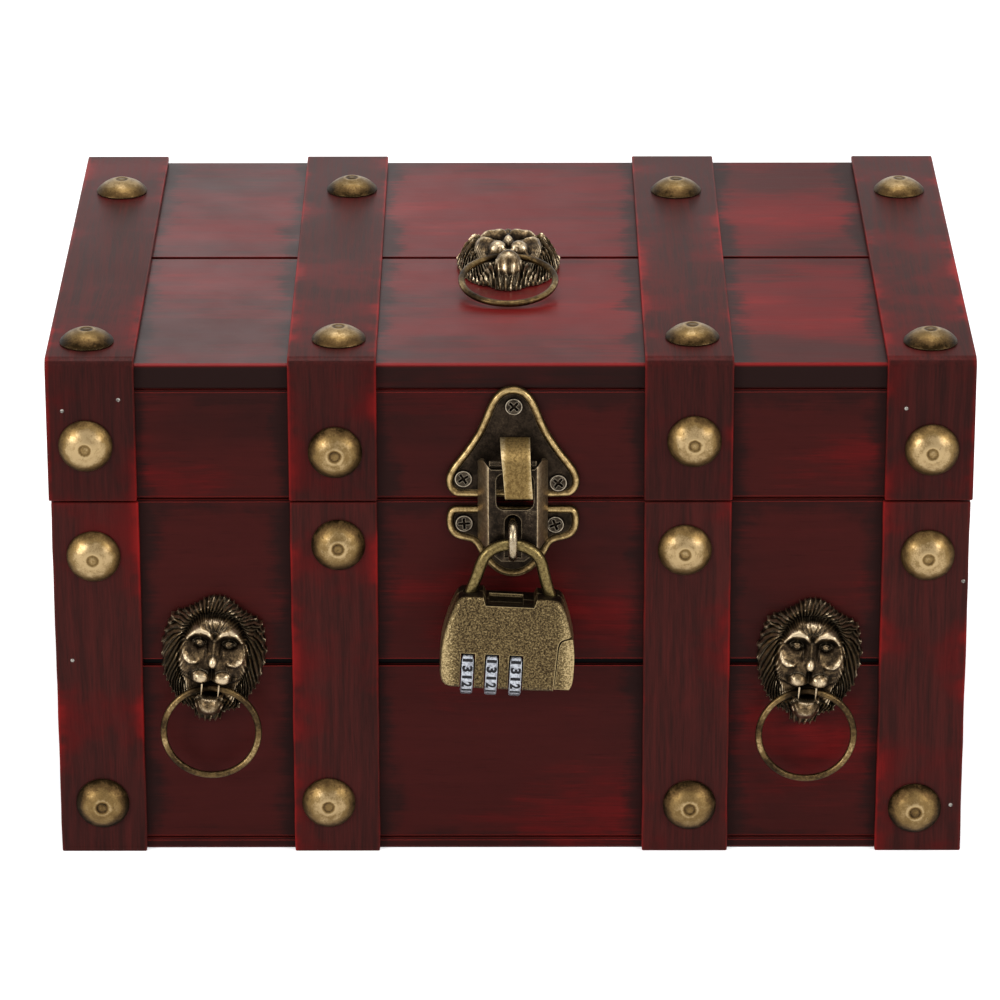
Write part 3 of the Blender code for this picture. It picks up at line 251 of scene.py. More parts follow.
BLACKENED = (0.012, 0.0044, 0.0038)
BROWN_STAIN = (0.038, 0.0056, 0.0048)
RED_STAIN = (0.082, 0.0046, 0.0046)
BRIGHT_RED = (0.22, 0.0085, 0.0080)
RUBBED_RED = (0.34, 0.020, 0.014)
LACQUER_ROUGHNESS = 0.24


def near_line(value, line, reach, most, ragged=0.0):
    """A dark line at a value: most at the line, nothing at its reach."""
    return ramp(plus(apart(value, line), ragged), 0.0, reach, most, 0.0)


def new_wood(name, turn):
    """A wood's material, shader and place, its coordinates, its turned place and its grain along X there."""
    material, tree, shader, place = new_finish(name)
    turned = add(tree, "ShaderNodeMapping", {"Vector": place, "Rotation": turn}).outputs[0]
    return material, shader, place, coordinates(place), turned, use(WOOD_GRAIN, Place=turned)


def lighten(colour, grain, streaks, pores, least, lift):
    """A colour made lighter and darker by its grain, and brighter by its lift."""
    fine = scaled(grain["Streaks"], streaks, scaled(grain["Pores"], pores, least))
    sockets = {"Value": times(fine, lift), "Color": colour}
    return add(tree_of(colour), "ShaderNodeHueSaturation", sockets).outputs[0]


def rub_edges(colour, place, breaks, cover, share):
    """A colour with bright red where the edges are rubbed."""
    wear = use(WORN_EDGE, Place=place, Width=0.0005, Breaks=breaks, Cover=cover)
    return mix(times(wear["Mask"], share), colour, RUBBED_RED)


def join_wood(shader, colour, grain, bumps, gloss, lacquer_and_sheen):
    """Give a wood's shader its colour and the grain's bumps, and a clear coat where there is some, which carries a
    painted sheen.
    """
    roughness = scaled(grain["Streaks"], 0.2, 0.36)
    height = less(grain["Streaks"], times(grain["Pores"], 0.4))
    levels = {"Specular IOR Level": gloss}
    if lacquer_and_sheen:
        levels |= {"Coat Weight": lacquer_and_sheen, "Coat Roughness": LACQUER_ROUGHNESS}
    join_shader(shader, colour, roughness, height, bumps, **levels)


def stained_wood(name, turn, red_share, lift, beside, levels=(), grooves=(), lacquered_with_sheen=False):
    """Red stain over brown, blackened beside the straps, with rubbed edges.

    turn brings the grain along X; red_share is how much of it shows red; lift brightens it all; beside is how
    far the blackening reaches from the straps; levels are heights with a dark line, and grooves are black
    cuts, given as an axis and a place. A lacquered board gets a clear coat that is thick on the left and thin on
    the right, a painted sheen, and its front edge is dark.
    """
    material, shader, place, at, turned, grain = new_wood(name, turn)
    soft = scaled(grain["Streaks"], 0.25, times(grain["Patches"], 0.75))
    red = ramp(soft, 0.60 - 0.22 * red_share, 0.74 - 0.22 * red_share)
    patch = ramp(grain["Patches"], 0.66 - 0.12 * red_share, 0.84 - 0.12 * red_share)
    bright = times(patch, ramp(grain["Streaks"], 0.30, 0.66))
    colour = mix(times(bright, 0.62), mix(red, BROWN_STAIN, RED_STAIN), BRIGHT_RED)
    spread = clouds(place, 60, 4.0, 0.65)
    ragged = scaled(grain["Streaks"], 0.012, scaled(spread, 0.016, -0.014))
    strap_edge = use(STRAP_DISTANCE, Across=at["X"])["Distance"]
    black = ramp(plus(strap_edge, ragged), 0.0, beside, 0.85, 0.0)
    outside = larger(ramp(at["Z"], 0.1262, 0.1267), ramp(at["Y"], -0.0756, -0.0752, 1.0, 0.0))
    spots = ramp(clouds(turned, 17, 5.0, 0.6, (0.45, 1.0, 1.0)), 0.52, 0.76, 0.0, 0.72)
    black = larger(times(black, outside), spots)
    for level in levels:
        black = larger(black, near_line(at["Z"], level, 0.006, 0.7, ragged))
    colour = lighten(mix(black, colour, BLACKENED), grain, 0.7, -0.22, 0.65, lift)
    colour = rub_edges(colour, place, 160.0, 0.72, 0.75)
    cover = None
    if lacquered_with_sheen:
        dark = mix(ramp(soft, 0.5, 0.7), BLACKENED, BROWN_STAIN)
        dark = mix(near_line(at["Z"], 0.1269, 0.0011, 1.0), dark, BRIGHT_RED)
        colour = mix(ramp(at["Y"], -0.07635, -0.0758, 1.0, 0.0), colour, dark)
        # The coat is thick on the left and thin on the right: a painted sheen, for the reflection of the left lamp.
        cover = times(ramp(at["X"], -0.09, 0.10, 0.42, 0.05), ramp(spread, 0.25, 0.75, 0.75, 1.15))
        cover = times(cover, ramp(at["Z"], 0.1262, 0.1268))
    for axis, line in grooves:
        colour = mix(near_line(at[axis], line, 0.0011, 6.0), colour, (0.0015, 0.001, 0.001))
    join_wood(shader, colour, grain, 0.22, 0.05, cover)
    return material


def strap_wood(name, turn, lift, gloss=0.05, shine=0.0):
    """The battens: darker brown, with grain along them and red glowing through near their long edges."""
    material, shader, place, at, _, grain = new_wood(name, turn)
    edge = use(STRAP_DISTANCE, Across=at["X"])["Distance"]
    spread = clouds(place, 42, 4.0, 0.6)
    dim = mix(ramp(grain["Streaks"], 0.36, 0.64), (0.026, 0.0072, 0.0060), (0.050, 0.0092, 0.0078))
    colour = mix(ramp(spread, 0.50, 0.70, 0.0, 0.55), dim, RED_STAIN)
    glow = times(ramp(edge, 0.0008, 0.0085, 1.0, 0.0), ramp(spread, 0.44, 0.66))
    colour = mix(times(glow, 0.75), colour, RED_STAIN)
    hot = times(ramp(spread, 0.52, 0.68), ramp(edge, 0.0003, 0.0032, 0.6, 0.0))
    rim = times(ramp(edge, 0.0, 0.0009, 0.8, 0.0), ramp(spread, 0.40, 0.62, 0.10, 0.9))
    colour = mix(rim, mix(hot, colour, BRIGHT_RED), BRIGHT_RED)
    colour = rub_edges(lighten(colour, grain, 0.5, -0.2, 0.74, lift), place, 120.0, 0.66, 0.8)
    cover = None
    if shine:
        # The coat on the strap tops is thick on the left and thin on the right: a painted sheen, for the reflection of
        # the left lamp.
        cover = times(ramp(at["X"], -0.06, 0.10, shine, 0.25 * shine), ramp(spread, 0.25, 0.75, 0.7, 1.2))
    join_wood(shader, colour, grain, 0.3, gloss, cover)
    return material


# Metals

def old_brass(name, bright, body, dark, mottle, reach, level, rough, speckle, edges=0.9, bands=None):
    """Antique brass: sooty in its corners, dark, then its body colour, then bright where it is rubbed.

    level is how rubbed it is, the same everywhere, or None where the mesh's own attribute says so, from 0, deep
    and dark, to 1, rubbed; on the studs and under the lions' chins that attribute also holds painted shade and a
    painted highlight. mottle is in spots per metre, and reach is how far a corner darkens it. speckle is how far
    the mottling moves its level, and edges how much worn edges shine. bands are a middle, a start and an end
    across X, and how much brighter it gets between start and end: a painted highlight along the sides.
    """
    material, tree, shader, place = new_finish(name)
    marks = use(PATINA, Place=place, Mottle=mottle, Reach=reach)
    wear = use(WORN_EDGE, Place=place, Width=0.0004, Breaks=500.0, Cover=0.8)
    if level is None:
        level = add(tree, "ShaderNodeAttribute", attribute_name="polish").outputs["Fac"]
    shine = plus(level, scaled(marks["Mottle"], 2 * speckle, -speckle))
    # Brighter away from the middle across X: a painted highlight along the sides of the link and the case.
    if bands:
        centre, start, end, more = bands
        away = apart(coordinates(place)["X"], centre)
        shine = plus(shine, ramp(away, start, end, 0.0, more))
    soot = tuple(share * 0.22 for share in dark)
    colour = mix(ramp(shine, 0.02, 0.26), soot, dark)
    colour = mix(ramp(shine, 0.24, 0.56), colour, body)
    colour = mix(ramp(shine, 0.54, 0.92), colour, bright)
    colour = mix(times(wear["Mask"], edges), colour, bright)
    shadow = larger(marks["Recess"], times(marks["Pits"], 0.4))
    colour = mix(times(shadow, 0.92), colour, soot)
    dull = plus(plus(ramp(shine, 0.2, 0.8, 0.16, 0.0), rough), times(shadow, 0.25))
    height = less(marks["Mottle"], times(marks["Pits"], 0.5))
    join_shader(shader, colour, dull, height, 0.2, 0.0001, Metallic=1.0)
    return material


BROWN_GOLD = (0.070, 0.040, 0.015)
DARK_GOLD = (0.026, 0.017, 0.010)

STUD_BRASS = old_brass(
    "stud_brass", (0.38, 0.27, 0.135), (0.165, 0.103, 0.038), BROWN_GOLD, 420, 0.0010, None, 0.32, 0.15)
LION_BRASS = old_brass(
    "lion_brass", (0.50, 0.39, 0.25), (0.125, 0.083, 0.042), DARK_GOLD, 500, 0.0007, None, 0.3, 0.22, 0.35)
RIM_BRASS = old_brass(
    "rim_brass", (0.42, 0.30, 0.135), (0.15, 0.097, 0.038), (0.052, 0.033, 0.015), 700, 0.0006, None, 0.3, 0.2)
FLANGE_BRASS = old_brass(
    "flange_brass", (0.40, 0.31, 0.19), (0.22, 0.155, 0.088), (0.10, 0.068, 0.038), 900, 0.0006, 0.70, 0.34, 0.2, 1.0)
# The link's bands are a painted highlight along its sides.
LINK_BRASS = old_brass(
    "link_brass", (0.46, 0.35, 0.19), (0.215, 0.143, 0.052), (0.105, 0.064, 0.022),
    1500, 0.0005, 0.40, 0.38, 0.16, 0.9, (0.0015, 0.0020, 0.0036, 0.4))
PLATE_BRASS = old_brass(
    "plate_brass", (0.10, 0.072, 0.042), (0.026, 0.018, 0.012), (0.011, 0.008, 0.0055), 380, 0.0009, 0.42, 0.42, 0.25)
FLAP_BRASS = old_brass(
    "flap_brass", (0.30, 0.23, 0.14), (0.030, 0.021, 0.014), (0.012, 0.009, 0.0065),
    420, 0.0009, 0.42, 0.38, 0.25, 0.8)
# The case's bands are a painted highlight on its rounded sides.
CASE_BRASS = old_brass(
    "case_brass", (0.40, 0.30, 0.15), (0.135, 0.096, 0.042), (0.048, 0.032, 0.016),
    2300, 0.0008, 0.38, 0.36, 0.36, 0.9, (-0.0008, 0.0112, 0.0156, 0.42))
RING_BRASS = old_brass(
    "ring_brass", (0.42, 0.30, 0.14), (0.115, 0.073, 0.029), (0.034, 0.021, 0.010), 900, 0.0008, None, 0.28, 0.16)
WIRE_BRASS = old_brass(
    "wire_brass", (0.43, 0.34, 0.17), (0.165, 0.121, 0.046), (0.060, 0.041, 0.016), 1700, 0.0008, 0.47, 0.24, 0.2)
STAPLE_BRASS = old_brass(
    "staple_brass", (0.50, 0.43, 0.33), (0.24, 0.18, 0.10), (0.10, 0.07, 0.04), 1300, 0.0008, 0.66, 0.22, 0.06)
SCREW_BRASS = old_brass(
    "screw_brass", (0.36, 0.30, 0.22), (0.050, 0.038, 0.026), (0.014, 0.011, 0.008),
    900, 0.0007, None, 0.36, 0.2, 0.5)


def plain_metal(name, colour, low, rough):
    """Steel and plated dials: fine mottling and dark corners."""
    material, _, shader, place = new_finish(name)
    marks = use(PATINA, Place=place, Mottle=1200.0, Reach=0.0008)
    tone = mix(ramp(marks["Mottle"], 0.38, 0.62), low, colour)
    tone = mix(times(marks["Recess"], 0.8), tone, (0.02, 0.018, 0.015))
    dull = scaled(marks["Mottle"], 0.2, rough)
    join_shader(shader, tone, dull, marks["Mottle"], 0.12, 0.0001, Metallic=0.85)
    return material


DIAL_SILVER = plain_metal("dial_plating", (0.46, 0.48, 0.52), (0.26, 0.27, 0.30), 0.3)
OLD_STEEL = plain_metal("old_steel", (0.30, 0.28, 0.25), (0.10, 0.09, 0.08), 0.35)


def black_paint():
    material, _, shader, place = new_finish("digit_paint")
    specks = clouds(place, 4000, 3.0, 0.6)
    colour = mix(ramp(specks, 0.35, 0.7), (0.004, 0.004, 0.005), (0.012, 0.012, 0.014))
    levels = {"Specular IOR Level": 0.2}
    join_shader(shader, colour, scaled(specks, 0.2, 0.5), specks, 0.1, 0.0001, **levels)
    return material


DIGIT_PAINT = black_paint()

RIGHT_GRAIN = ORIGIN
DEEP_GRAIN = (0.0, 0.0, math.pi / 2)
UP_GRAIN = (0.0, math.pi / 2, 0.0)
GROOVE = (("Z", 0.0497),)
BODY_LEVELS = (0.092, 0.0)
LID_LEVEL = (0.1201,)
FRONT_BOARDS = stained_wood("front_boards", RIGHT_GRAIN, 0.45, 1.0, 0.006, BODY_LEVELS, GROOVE)
SIDE_BOARDS = stained_wood("side_boards", DEEP_GRAIN, 0.55, 1.1, 0.0001, BODY_LEVELS, GROOVE)
LID_FACE = stained_wood("lid_face", RIGHT_GRAIN, 0.5, 1.0, 0.006, LID_LEVEL)
LID_SIDES = stained_wood("lid_sides", DEEP_GRAIN, 0.5, 1.1, 0.0001, LID_LEVEL)
LID_BOARDS = stained_wood("lid_boards", RIGHT_GRAIN, 0.8, 1.5, 0.005, (), (("Y", 0.0),), True)
STRAP_FRONT = strap_wood("strap_front", UP_GRAIN, 1.0)
STRAP_LOW = strap_wood("strap_over_edge", UP_GRAIN, 0.78)
STRAP_TOP = strap_wood("strap_top", DEEP_GRAIN, 1.3, 0.04, 0.10)


# Making meshes

def deselect():
    if bpy.context.object and bpy.context.object.mode != "OBJECT":
        leave()
    bpy.ops.object.select_all(action="DESELECT")


def take(piece):
    """Make one piece the selected and active one."""
    deselect()
    piece.select_set(True)
    bpy.context.view_layer.objects.active = piece
    return piece


def named(piece, name):
    piece.name = name
    piece.data.name = name
    return piece


def started(name):
    """The primitive just added, under its own name."""
    return named(bpy.context.object, name)


def edit(piece, mode="FACE", action="SELECT"):
    """Go to edit mode with all of a piece selected, or none of it."""
    take(piece)
    bpy.ops.object.mode_set(mode="EDIT")
    bpy.ops.mesh.select_mode(type=mode)
    bpy.ops.mesh.select_all(action=action)


def leave():
    """Leave edit mode."""
    bpy.ops.object.mode_set(mode="OBJECT")


def extrude(x=0.0, y=0.0, z=0.0):
    bpy.ops.mesh.extrude_region_move(TRANSFORM_OT_translate={"value": (x, y, z)})


def pick(piece, test, mode="FACE"):
    """Select the faces or edges whose middle and normal pass the test, and go to edit mode."""
    edit(piece, mode, "DESELECT")
    leave()
    data = piece.data
    if mode == "FACE":
        for face in data.polygons:
            face.select = test(face.center, face.normal)
    else:
        for line in data.edges:
            a, b = (data.vertices[v].co for v in line.vertices)
            line.select = test((a + b) / 2, (b - a).normalized())
    bpy.ops.object.mode_set(mode="EDIT")


def outward(piece):
    """Merge a piece's doubled points and turn its faces outwards."""
    edit(piece)
    bpy.ops.mesh.remove_doubles(threshold=0.0005)
    bpy.ops.mesh.normals_make_consistent(inside=False)
    leave()
    return piece


def bevel(piece, width, segments=2, angle=30.0):
    """Round a piece's edges with a modifier, and apply it."""
    take(piece)
    rounding = piece.modifiers.new("edges", "BEVEL")
    rounding.width = width
    rounding.segments = segments
    rounding.limit_method = "ANGLE"
    rounding.angle_limit = math.radians(angle)
    rounding.use_clamp_overlap = True
    bpy.ops.object.modifier_apply(modifier=rounding.name)
    return piece


def cut(piece, *cutters, operation="DIFFERENCE"):
    """Cut a piece with others, or join them to it, and take the others away."""
    for cutter in cutters:
        take(piece)
        step = piece.modifiers.new("cut", "BOOLEAN")
        step.operation = operation
        step.object = cutter
        step.solver = "EXACT"
        bpy.ops.object.modifier_apply(modifier=step.name)
        bpy.data.objects.remove(cutter)
    return piece


def smooth(piece, degrees=35.0):
    take(piece)
    bpy.ops.object.shade_smooth_by_angle(angle=math.radians(degrees))
    return piece


def block(name, low, high, edge=0.0, segments=2):
    """A box between two corners, in millimetres, with rounded edges."""
    low, high = Vector(low), Vector(high)
    deselect()
    bpy.ops.mesh.primitive_cube_add(size=1.0, location=(low + high) / 2, scale=high - low)
    piece = started(name)
    bpy.ops.object.transform_apply()
    return bevel(piece, edge, segments) if edge else piece


def turned(name, profile, sides):
    """Turn a profile of radius and height about Z, by extruding a circle from ring to ring."""
    deselect()
    first = next(k for k, (radius, height) in enumerate(profile) if radius > 0)
    radius, height = profile[first]
    bpy.ops.mesh.primitive_circle_add(vertices=sides, radius=radius, location=(0, 0, height), fill_type="NOTHING")
    piece = started(name)
    bpy.ops.object.transform_apply()
    edit(piece, "EDGE")
    if first:
        extrude(z=profile[0][1] - height)
        bpy.ops.mesh.merge(type="CENTER")
        leave()
        for line in piece.data.edges:
            ends = [piece.data.vertices[v].co for v in line.vertices]
            line.select = all(abs(end.z - height) < 1e-6 and end.xy.length > radius / 2 for end in ends)
        bpy.ops.object.mode_set(mode="EDIT")
    for next_radius, next_height in profile[first + 1:]:
        extrude(z=next_height - height)
        if next_radius > 0:
            share = next_radius / radius
            bpy.ops.transform.resize(value=(share, share, 1), center_override=(0, 0, next_height))
            radius = next_radius
        else:
            bpy.ops.mesh.merge(type="CENTER")
        height = next_height
    return outward(piece)


def flat_shape(name, outline, front=0.0):
    """A flat face with the given outline in X and Z, facing the front, at a depth."""
    deselect()
    bpy.ops.mesh.primitive_circle_add(vertices=len(outline), radius=1.0, fill_type="NGON")
    piece = started(name)
    for vertex, (x, z) in zip(piece.data.vertices, outline):
        vertex.co = (x, front, z)
    return piece


def thick_shape(name, outline, front, back):
    """An outline in X and Z, extruded from a front depth to a back depth."""
    piece = flat_shape(name, outline, front)
    edit(piece)
    extrude(y=back - front)
    return outward(piece)


def rod(name, points, radius, sides=16, closed=False):
    """A round rod along points, from a curve with a bevel, made a mesh."""
    deselect()
    curve = bpy.data.curves.new(name, "CURVE")
    curve.dimensions = "3D"
    curve.bevel_depth = radius
    curve.bevel_resolution = max(1, sides // 4 - 1)
    curve.use_fill_caps = True
    spline = curve.splines.new("POLY")
    spline.points.add(len(points) - 1)
    for target, point in zip(spline.points, points):
        target.co = (*point, 1.0)
    spline.use_cyclic_u = closed
    piece = bpy.data.objects.new(name, curve)
    bpy.context.scene.collection.objects.link(piece)
    take(piece)
    bpy.ops.object.convert(target="MESH")
    return outward(bpy.context.object)


def copied(piece, name):
    """A copy of a piece with its own mesh."""
    other = piece.copy()
    other.data = piece.data.copy()
    bpy.context.scene.collection.objects.link(other)
    return named(other, name)


def joined(name, *pieces):
    take(pieces[0])
    for piece in pieces[1:]:
        piece.select_set(True)
    bpy.ops.object.join()
    return started(name)


def seat(piece, finish, body, node=None, place=None, degrees=35.0):
    """Bring a finished piece to metres and its place, smooth it, finish it, and ride it on its body."""
    piece.data.transform(MM @ place if place else MM)
    if degrees:
        smooth(piece, degrees)
    piece.data.materials.clear()
    piece.data.materials.append(finish)
    if node:
        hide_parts(node)
    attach(piece, body)
    return piece


def second_finish(piece, finish, test):
    """Give the faces that pass the test another finish."""
    piece.data.materials.append(finish)
    for face in piece.data.polygons:
        if test(face):
            face.material_index = 1


def carve(piece, polish):
    """Write a float attribute on the mesh from each vertex's place."""
    data = piece.data
    layer = data.attributes.new("polish", "FLOAT", "POINT")
    layer.data.foreach_set("value", [polish(v.co) for v in data.vertices])


def soft_step(value, low, high):
    share = min(1.0, max(0.0, (value - low) / (high - low)))
    return share * share * (3 - 2 * share)


def wobble(point, size, reach, seed=0.0):
    """A small smooth wander of hand work at a point."""
    return reach * noise.noise(Vector(point) / size + Vector((seed, seed * 1.7, seed * 0.3)))


def corners(node):
    """The low and high corner of a node of the part, in millimetres."""
    return [Vector(corner) * 1000 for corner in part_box(node)]


# Boards stay as they are, with their own finishes

def dress(finish, *nodes):
    for node in nodes:
        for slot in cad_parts[node].material_slots:
            slot.material = finish


def dress_boards():
    dress(FRONT_BOARDS, "front_wall", "back_wall", "bottom_board")
    dress(SIDE_BOARDS, "left_wall", "right_wall")
    dress(LID_FACE, "lid_front_rail", "lid_back_rail")
    dress(LID_SIDES, "lid_left_rail", "lid_right_rail")
    dress(LID_BOARDS, "lid_board")
    dress(OLD_STEEL, "dial_spindle")


# Straps

def body_strap(number, x):
    """A thin batten with a slightly uneven, rubbed outline."""
    node = f"body_strap_{number}"
    piece = block(node + "_wood", (x - STRAP_HALF, STRAP_FRONT_FACE, 0.0), (x + STRAP_HALF, BOARD_FRONT, BODY_TOP))
    pick(piece, lambda middle, way: abs(way.z) > 0.9, "EDGE")
    bpy.ops.mesh.subdivide(number_cuts=22)
    leave()
    for vertex in piece.data.vertices:
        side = 1 if vertex.co.x > x else -1
        vertex.co.x -= side * (0.12 + wobble((number * 3, side, vertex.co.z), 9.0, 0.16))
    bevel(piece, 0.38, 3)
    seat(piece, STRAP_FRONT, "chest_body", node, degrees=40)


def arc(steps, start, end, centre, wide, tall):
    """Points along an arc, from one angle to another."""
    angles = [start + (end - start) * step / steps for step in range(steps + 1)]
    return [(centre[0] + wide * math.cos(angle), centre[1] + tall * math.sin(angle)) for angle in angles]


def lid_strap(number):
    """One strap bent over the lid's front edge, with a rounded fold."""
    node = f"lid_strap_{number}"
    outer, inner, top, foot = 2.4, 0.8, BOARD_TOP + 1.5, BODY_TOP + 0.5
    side = [(BOARD_FRONT, foot), (STRAP_FRONT_FACE, foot)]
    side += arc(8, math.pi, math.pi / 2, (STRAP_FRONT_FACE + outer, top - outer), outer, outer)
    side += [(-BOARD_FRONT, top), (-BOARD_FRONT, BOARD_TOP)]
    side += arc(4, math.pi / 2, math.pi, (BOARD_FRONT + inner, BOARD_TOP - inner), inner, inner)
    piece = thick_shape(node + "_wood", side, -STRAP_HALF, STRAP_HALF)
    low, high = corners(node)
    piece.data.transform(moved((low.x + high.x) / 2, low.y - STRAP_FRONT_FACE, 0) @ spun(math.pi / 2))
    bevel(piece, 0.35, 3, 50)
    seat(piece, STRAP_TOP, "lid", node, degrees=40)
    second_finish(piece, STRAP_LOW, lambda face: face.normal.y < -0.72 or face.center.z < 0.120)


# Dome studs

STUD_HEIGHT = 3.6


def master_stud():
    dome, rim = 8.36, 6.5
    profile = [(0, 3.40), (0.45, 3.43), (0.8, 3.40), (1.05, 3.27), (1.3, 3.27), (1.55, 3.36), (1.8, 3.41)]
    first, last = math.asin(2.0 / dome), math.asin(6.35 / dome)
    for step in range(11):
        angle = first + (last - first) * step / 10
        profile.append((dome * math.sin(angle), STUD_HEIGHT - dome * (1 - math.cos(angle))))
    profile += [(6.48, 0.40), (rim, 0.22), (6.42, 0.06), (6.25, 0.0), (1.3, 0.0), (1.3, -5.9), (0, -6.0)]
    piece = turned("stud_master", profile, 56)

    def polish(point):
        radius = point.xy.length
        ring = 0.35 * math.exp(-((radius - 1.15) / 0.3) ** 2) - 0.25 * math.exp(-((radius - 1.9) / 0.3) ** 2)
        # Darker from 3.6 mm out to the rim: painted shade, for the dark surroundings that a dome reflects near its
        # edge.
        return 0.74 - 0.54 * soft_step(radius, 3.6, rim) - 0.12 * (1 - soft_step(radius, 0.8, 2.2)) - ring

    carve(piece, polish)
    return piece


def studs():
    master = master_stud()
    spots = [(f"body_stud_{k}", "chest_body", True) for k in range(1, 9)]
    spots += [(f"lid_stud_{k}", "lid", k < 5) for k in range(1, 13)]
    for seed, (node, body, upright) in enumerate(spots, 1):
        low, high = corners(node)
        x, y, z = (low + high) / 2
        piece = copied(master, node + "_dome")
        for vertex in piece.data.vertices:
            if vertex.co.z > 0.3:
                vertex.co.z -= 0.05 + wobble(vertex.co, 3.2, 0.10, seed)
        tone = 0.10 * math.sin(seed * 2.3) - (0.12 if z < 30 else 0.0) - (0.08 if not upright else 0.0)
        for entry in piece.data.attributes["polish"].data:
            entry.value += tone
        place = moved(x, low.y + STUD_HEIGHT, z) @ TURN_OUT if upright else moved(x, y, high.z - STUD_HEIGHT)
        seat(piece, STUD_BRASS, body, node, place @ spun(seed * 2.4), 32)
    bpy.data.objects.remove(master)


# Lions

LION_HALF = 13.0
LION_CENTRE = 0.5
LION_EDGE = 1.2
LION_RISE = 4.7
MANE_STRANDS = 53
FACE_WIDE, FACE_TALL, FACE_UP, FACE_POWER = 0.64, 0.82, 0.64, 2.3
BROW_CAP = 5.4
HIGH_CAP = 7.9
CAP_SOFT = 0.4
RING_SEAT = 3.9
MOUTH_FLOOR = 3.3
LION_OUTLINE = (
    (0.0, 1.75), (0.13, 1.75), (0.26, 1.67), (0.38, 1.58), (0.50, 1.49), (0.63, 1.43), (0.75, 1.39), (0.86, 1.29),
    (0.92, 1.14), (0.955, 0.98), (0.985, 0.81), (1.0, 0.62), (0.98, 0.40), (0.93, 0.14), (0.86, -0.08), (0.76, -0.27),
    (0.66, -0.41), (0.56, -0.53), (0.42, -0.57), (0.3, -0.67), (0.2, -0.81), (0.0, -0.86),
)
# Forms of the head: across, up, half width, half height and rise. Places are in half widths of the head.
LION_FORMS = (
    (0.0, 0.2, 0.4, 0.34, 0.56), (0.2, 0.25, 0.17, 0.14, 0.72), (0.0, 0.54, 0.12, 0.11, 1.2),
    (0.0, 0.82, 0.11, 0.26, 0.8), (0.28, 1.11, 0.215, 0.1, 1.36), (0.27, 0.9, 0.15, 0.12, -1.04),
    (0.27, 0.9, 0.07, 0.06, 1.2), (0.46, 0.62, 0.16, 0.13, 0.88), (0.0, 1.32, 0.185, 0.115, 0.8),
    (0.0, -0.36, 0.21, 0.18, 1.44), (0.62, -0.2, 0.24, 0.24, -1.6), (0.0, -0.6, 0.45, 0.22, -1.04),
)
LION_DOMES = (
    (0.215, 0.26, 0.17, 0.145, 1.7), (0.0, 0.58, 0.09, 0.13, 1.3), (0.0, -0.37, 0.275, 0.23, 3.0),
    (0.272, 0.91, 0.075, 0.055, 1.2), (0.46, 0.46, 0.19, 0.20, 0.7), (0.0, 1.29, 0.19, 0.12, 0.8),
)
LION_CARVING = (
    (0.77, 1.20, 0.14, 0.13, 2.2), (0.77, 1.19, 0.08, 0.07, -2.4), (0.272, 0.92, 0.17, 0.12, -1.9),
    (0.40, 0.22, 0.05, 0.14, -1.2), (0.52, 0.14, 0.10, 0.22, -1.2), (0.14, 0.74, 0.04, 0.12, -0.8),
    (0.0, 1.05, 0.045, 0.08, -0.7),
)
# Strokes of the chisel: points, half width and rise.
LION_STROKES = (
    (((0.05, 1.05), (0.13, 1.15), (0.27, 1.205), (0.40, 1.15), (0.51, 1.0)), 0.06, 1.3),
    (((0.57, 0.76), (0.53, 0.64), (0.43, 0.56), (0.30, 0.56)), 0.055, 1.1),
    (((0.18, 0.91), (0.27, 0.975), (0.37, 0.91)), 0.02, 0.5), (((0.18, 0.90), (0.27, 0.85), (0.36, 0.89)), 0.02, 0.5),
    (((0.0, 0.98), (0.0, 0.68)), 0.035, 0.6), (((0.0, 0.40), (0.0, 0.12)), 0.04, -1.6),
    (((0.03, 1.18), (0.08, 1.36)), 0.018, -0.4), (((0.07, 1.16), (0.16, 1.32)), 0.018, -0.35),
    (((0.0, -0.165), (0.14, -0.16), (0.28, -0.10)), 0.024, 1.2),
    (((0.24, -0.44), (0.30, -0.62)), 0.03, -1.2), (((0.50, -0.28), (0.60, -0.44)), 0.035, -1.0),
)
# Where the cast is rubbed bright, or left dark, by how much. The bright arc under the chin, at (0.0, -0.43), is a
# painted highlight.
LION_WEAR_AND_HIGHLIGHT = (
    (0.215, 0.25, 0.11, 0.09, 0.38), (0.0, 0.58, 0.07, 0.10, 0.70), (0.15, 1.15, 0.09, 0.045, 0.35),
    (0.33, 1.18, 0.12, 0.05, 0.45), (0.50, 0.63, 0.08, 0.08, 0.50), (0.34, 0.56, 0.10, 0.035, 0.25),
    (0.0, 1.29, 0.15, 0.09, 0.05), (0.0, -0.43, 0.16, 0.04, 0.38), (0.272, 0.92, 0.035, 0.03, 0.45),
    (0.272, 0.90, 0.18, 0.14, -0.25), (0.0, -0.25, 0.12, 0.06, -0.15), (0.80, 1.28, 0.12, 0.05, 0.3),
)
RING_OUT = 5.2
RING_RADIUS = 11.5


def swell(u, v, across, up, wide, tall, rise):
    """A smooth swelling of the face, on both its halves."""
    return rise * np.exp(-((np.abs(u) - across) / wide) ** 2 - ((v - up) / tall) ** 2)


def dome(u, v, across, up, wide, tall, rise):
    """A round boss of the face, on both its halves."""
    return rise * np.sqrt(np.clip(1 - ((np.abs(u) - across) / wide) ** 2 - ((v - up) / tall) ** 2, 0, 1))


def stroke(u, v, points, wide, rise):
    """A raised or sunk line along points, on both halves of the face."""
    nearest = np.full_like(u, 9.0)
    for (a, b), (c, d) in zip(points, points[1:]):
        along = np.clip(((np.abs(u) - a) * (c - a) + (v - b) * (d - b)) / ((c - a) ** 2 + (d - b) ** 2), 0, 1)
        nearest = np.minimum(nearest, np.hypot(np.abs(u) - a - along * (c - a), v - b - along * (d - b)))
    return rise * np.exp(-(nearest / wide) ** 2)


def rise_at(value, edge, soft):
    return 1 / (1 + np.exp(-np.clip((value - edge) / soft, -60, 60)))


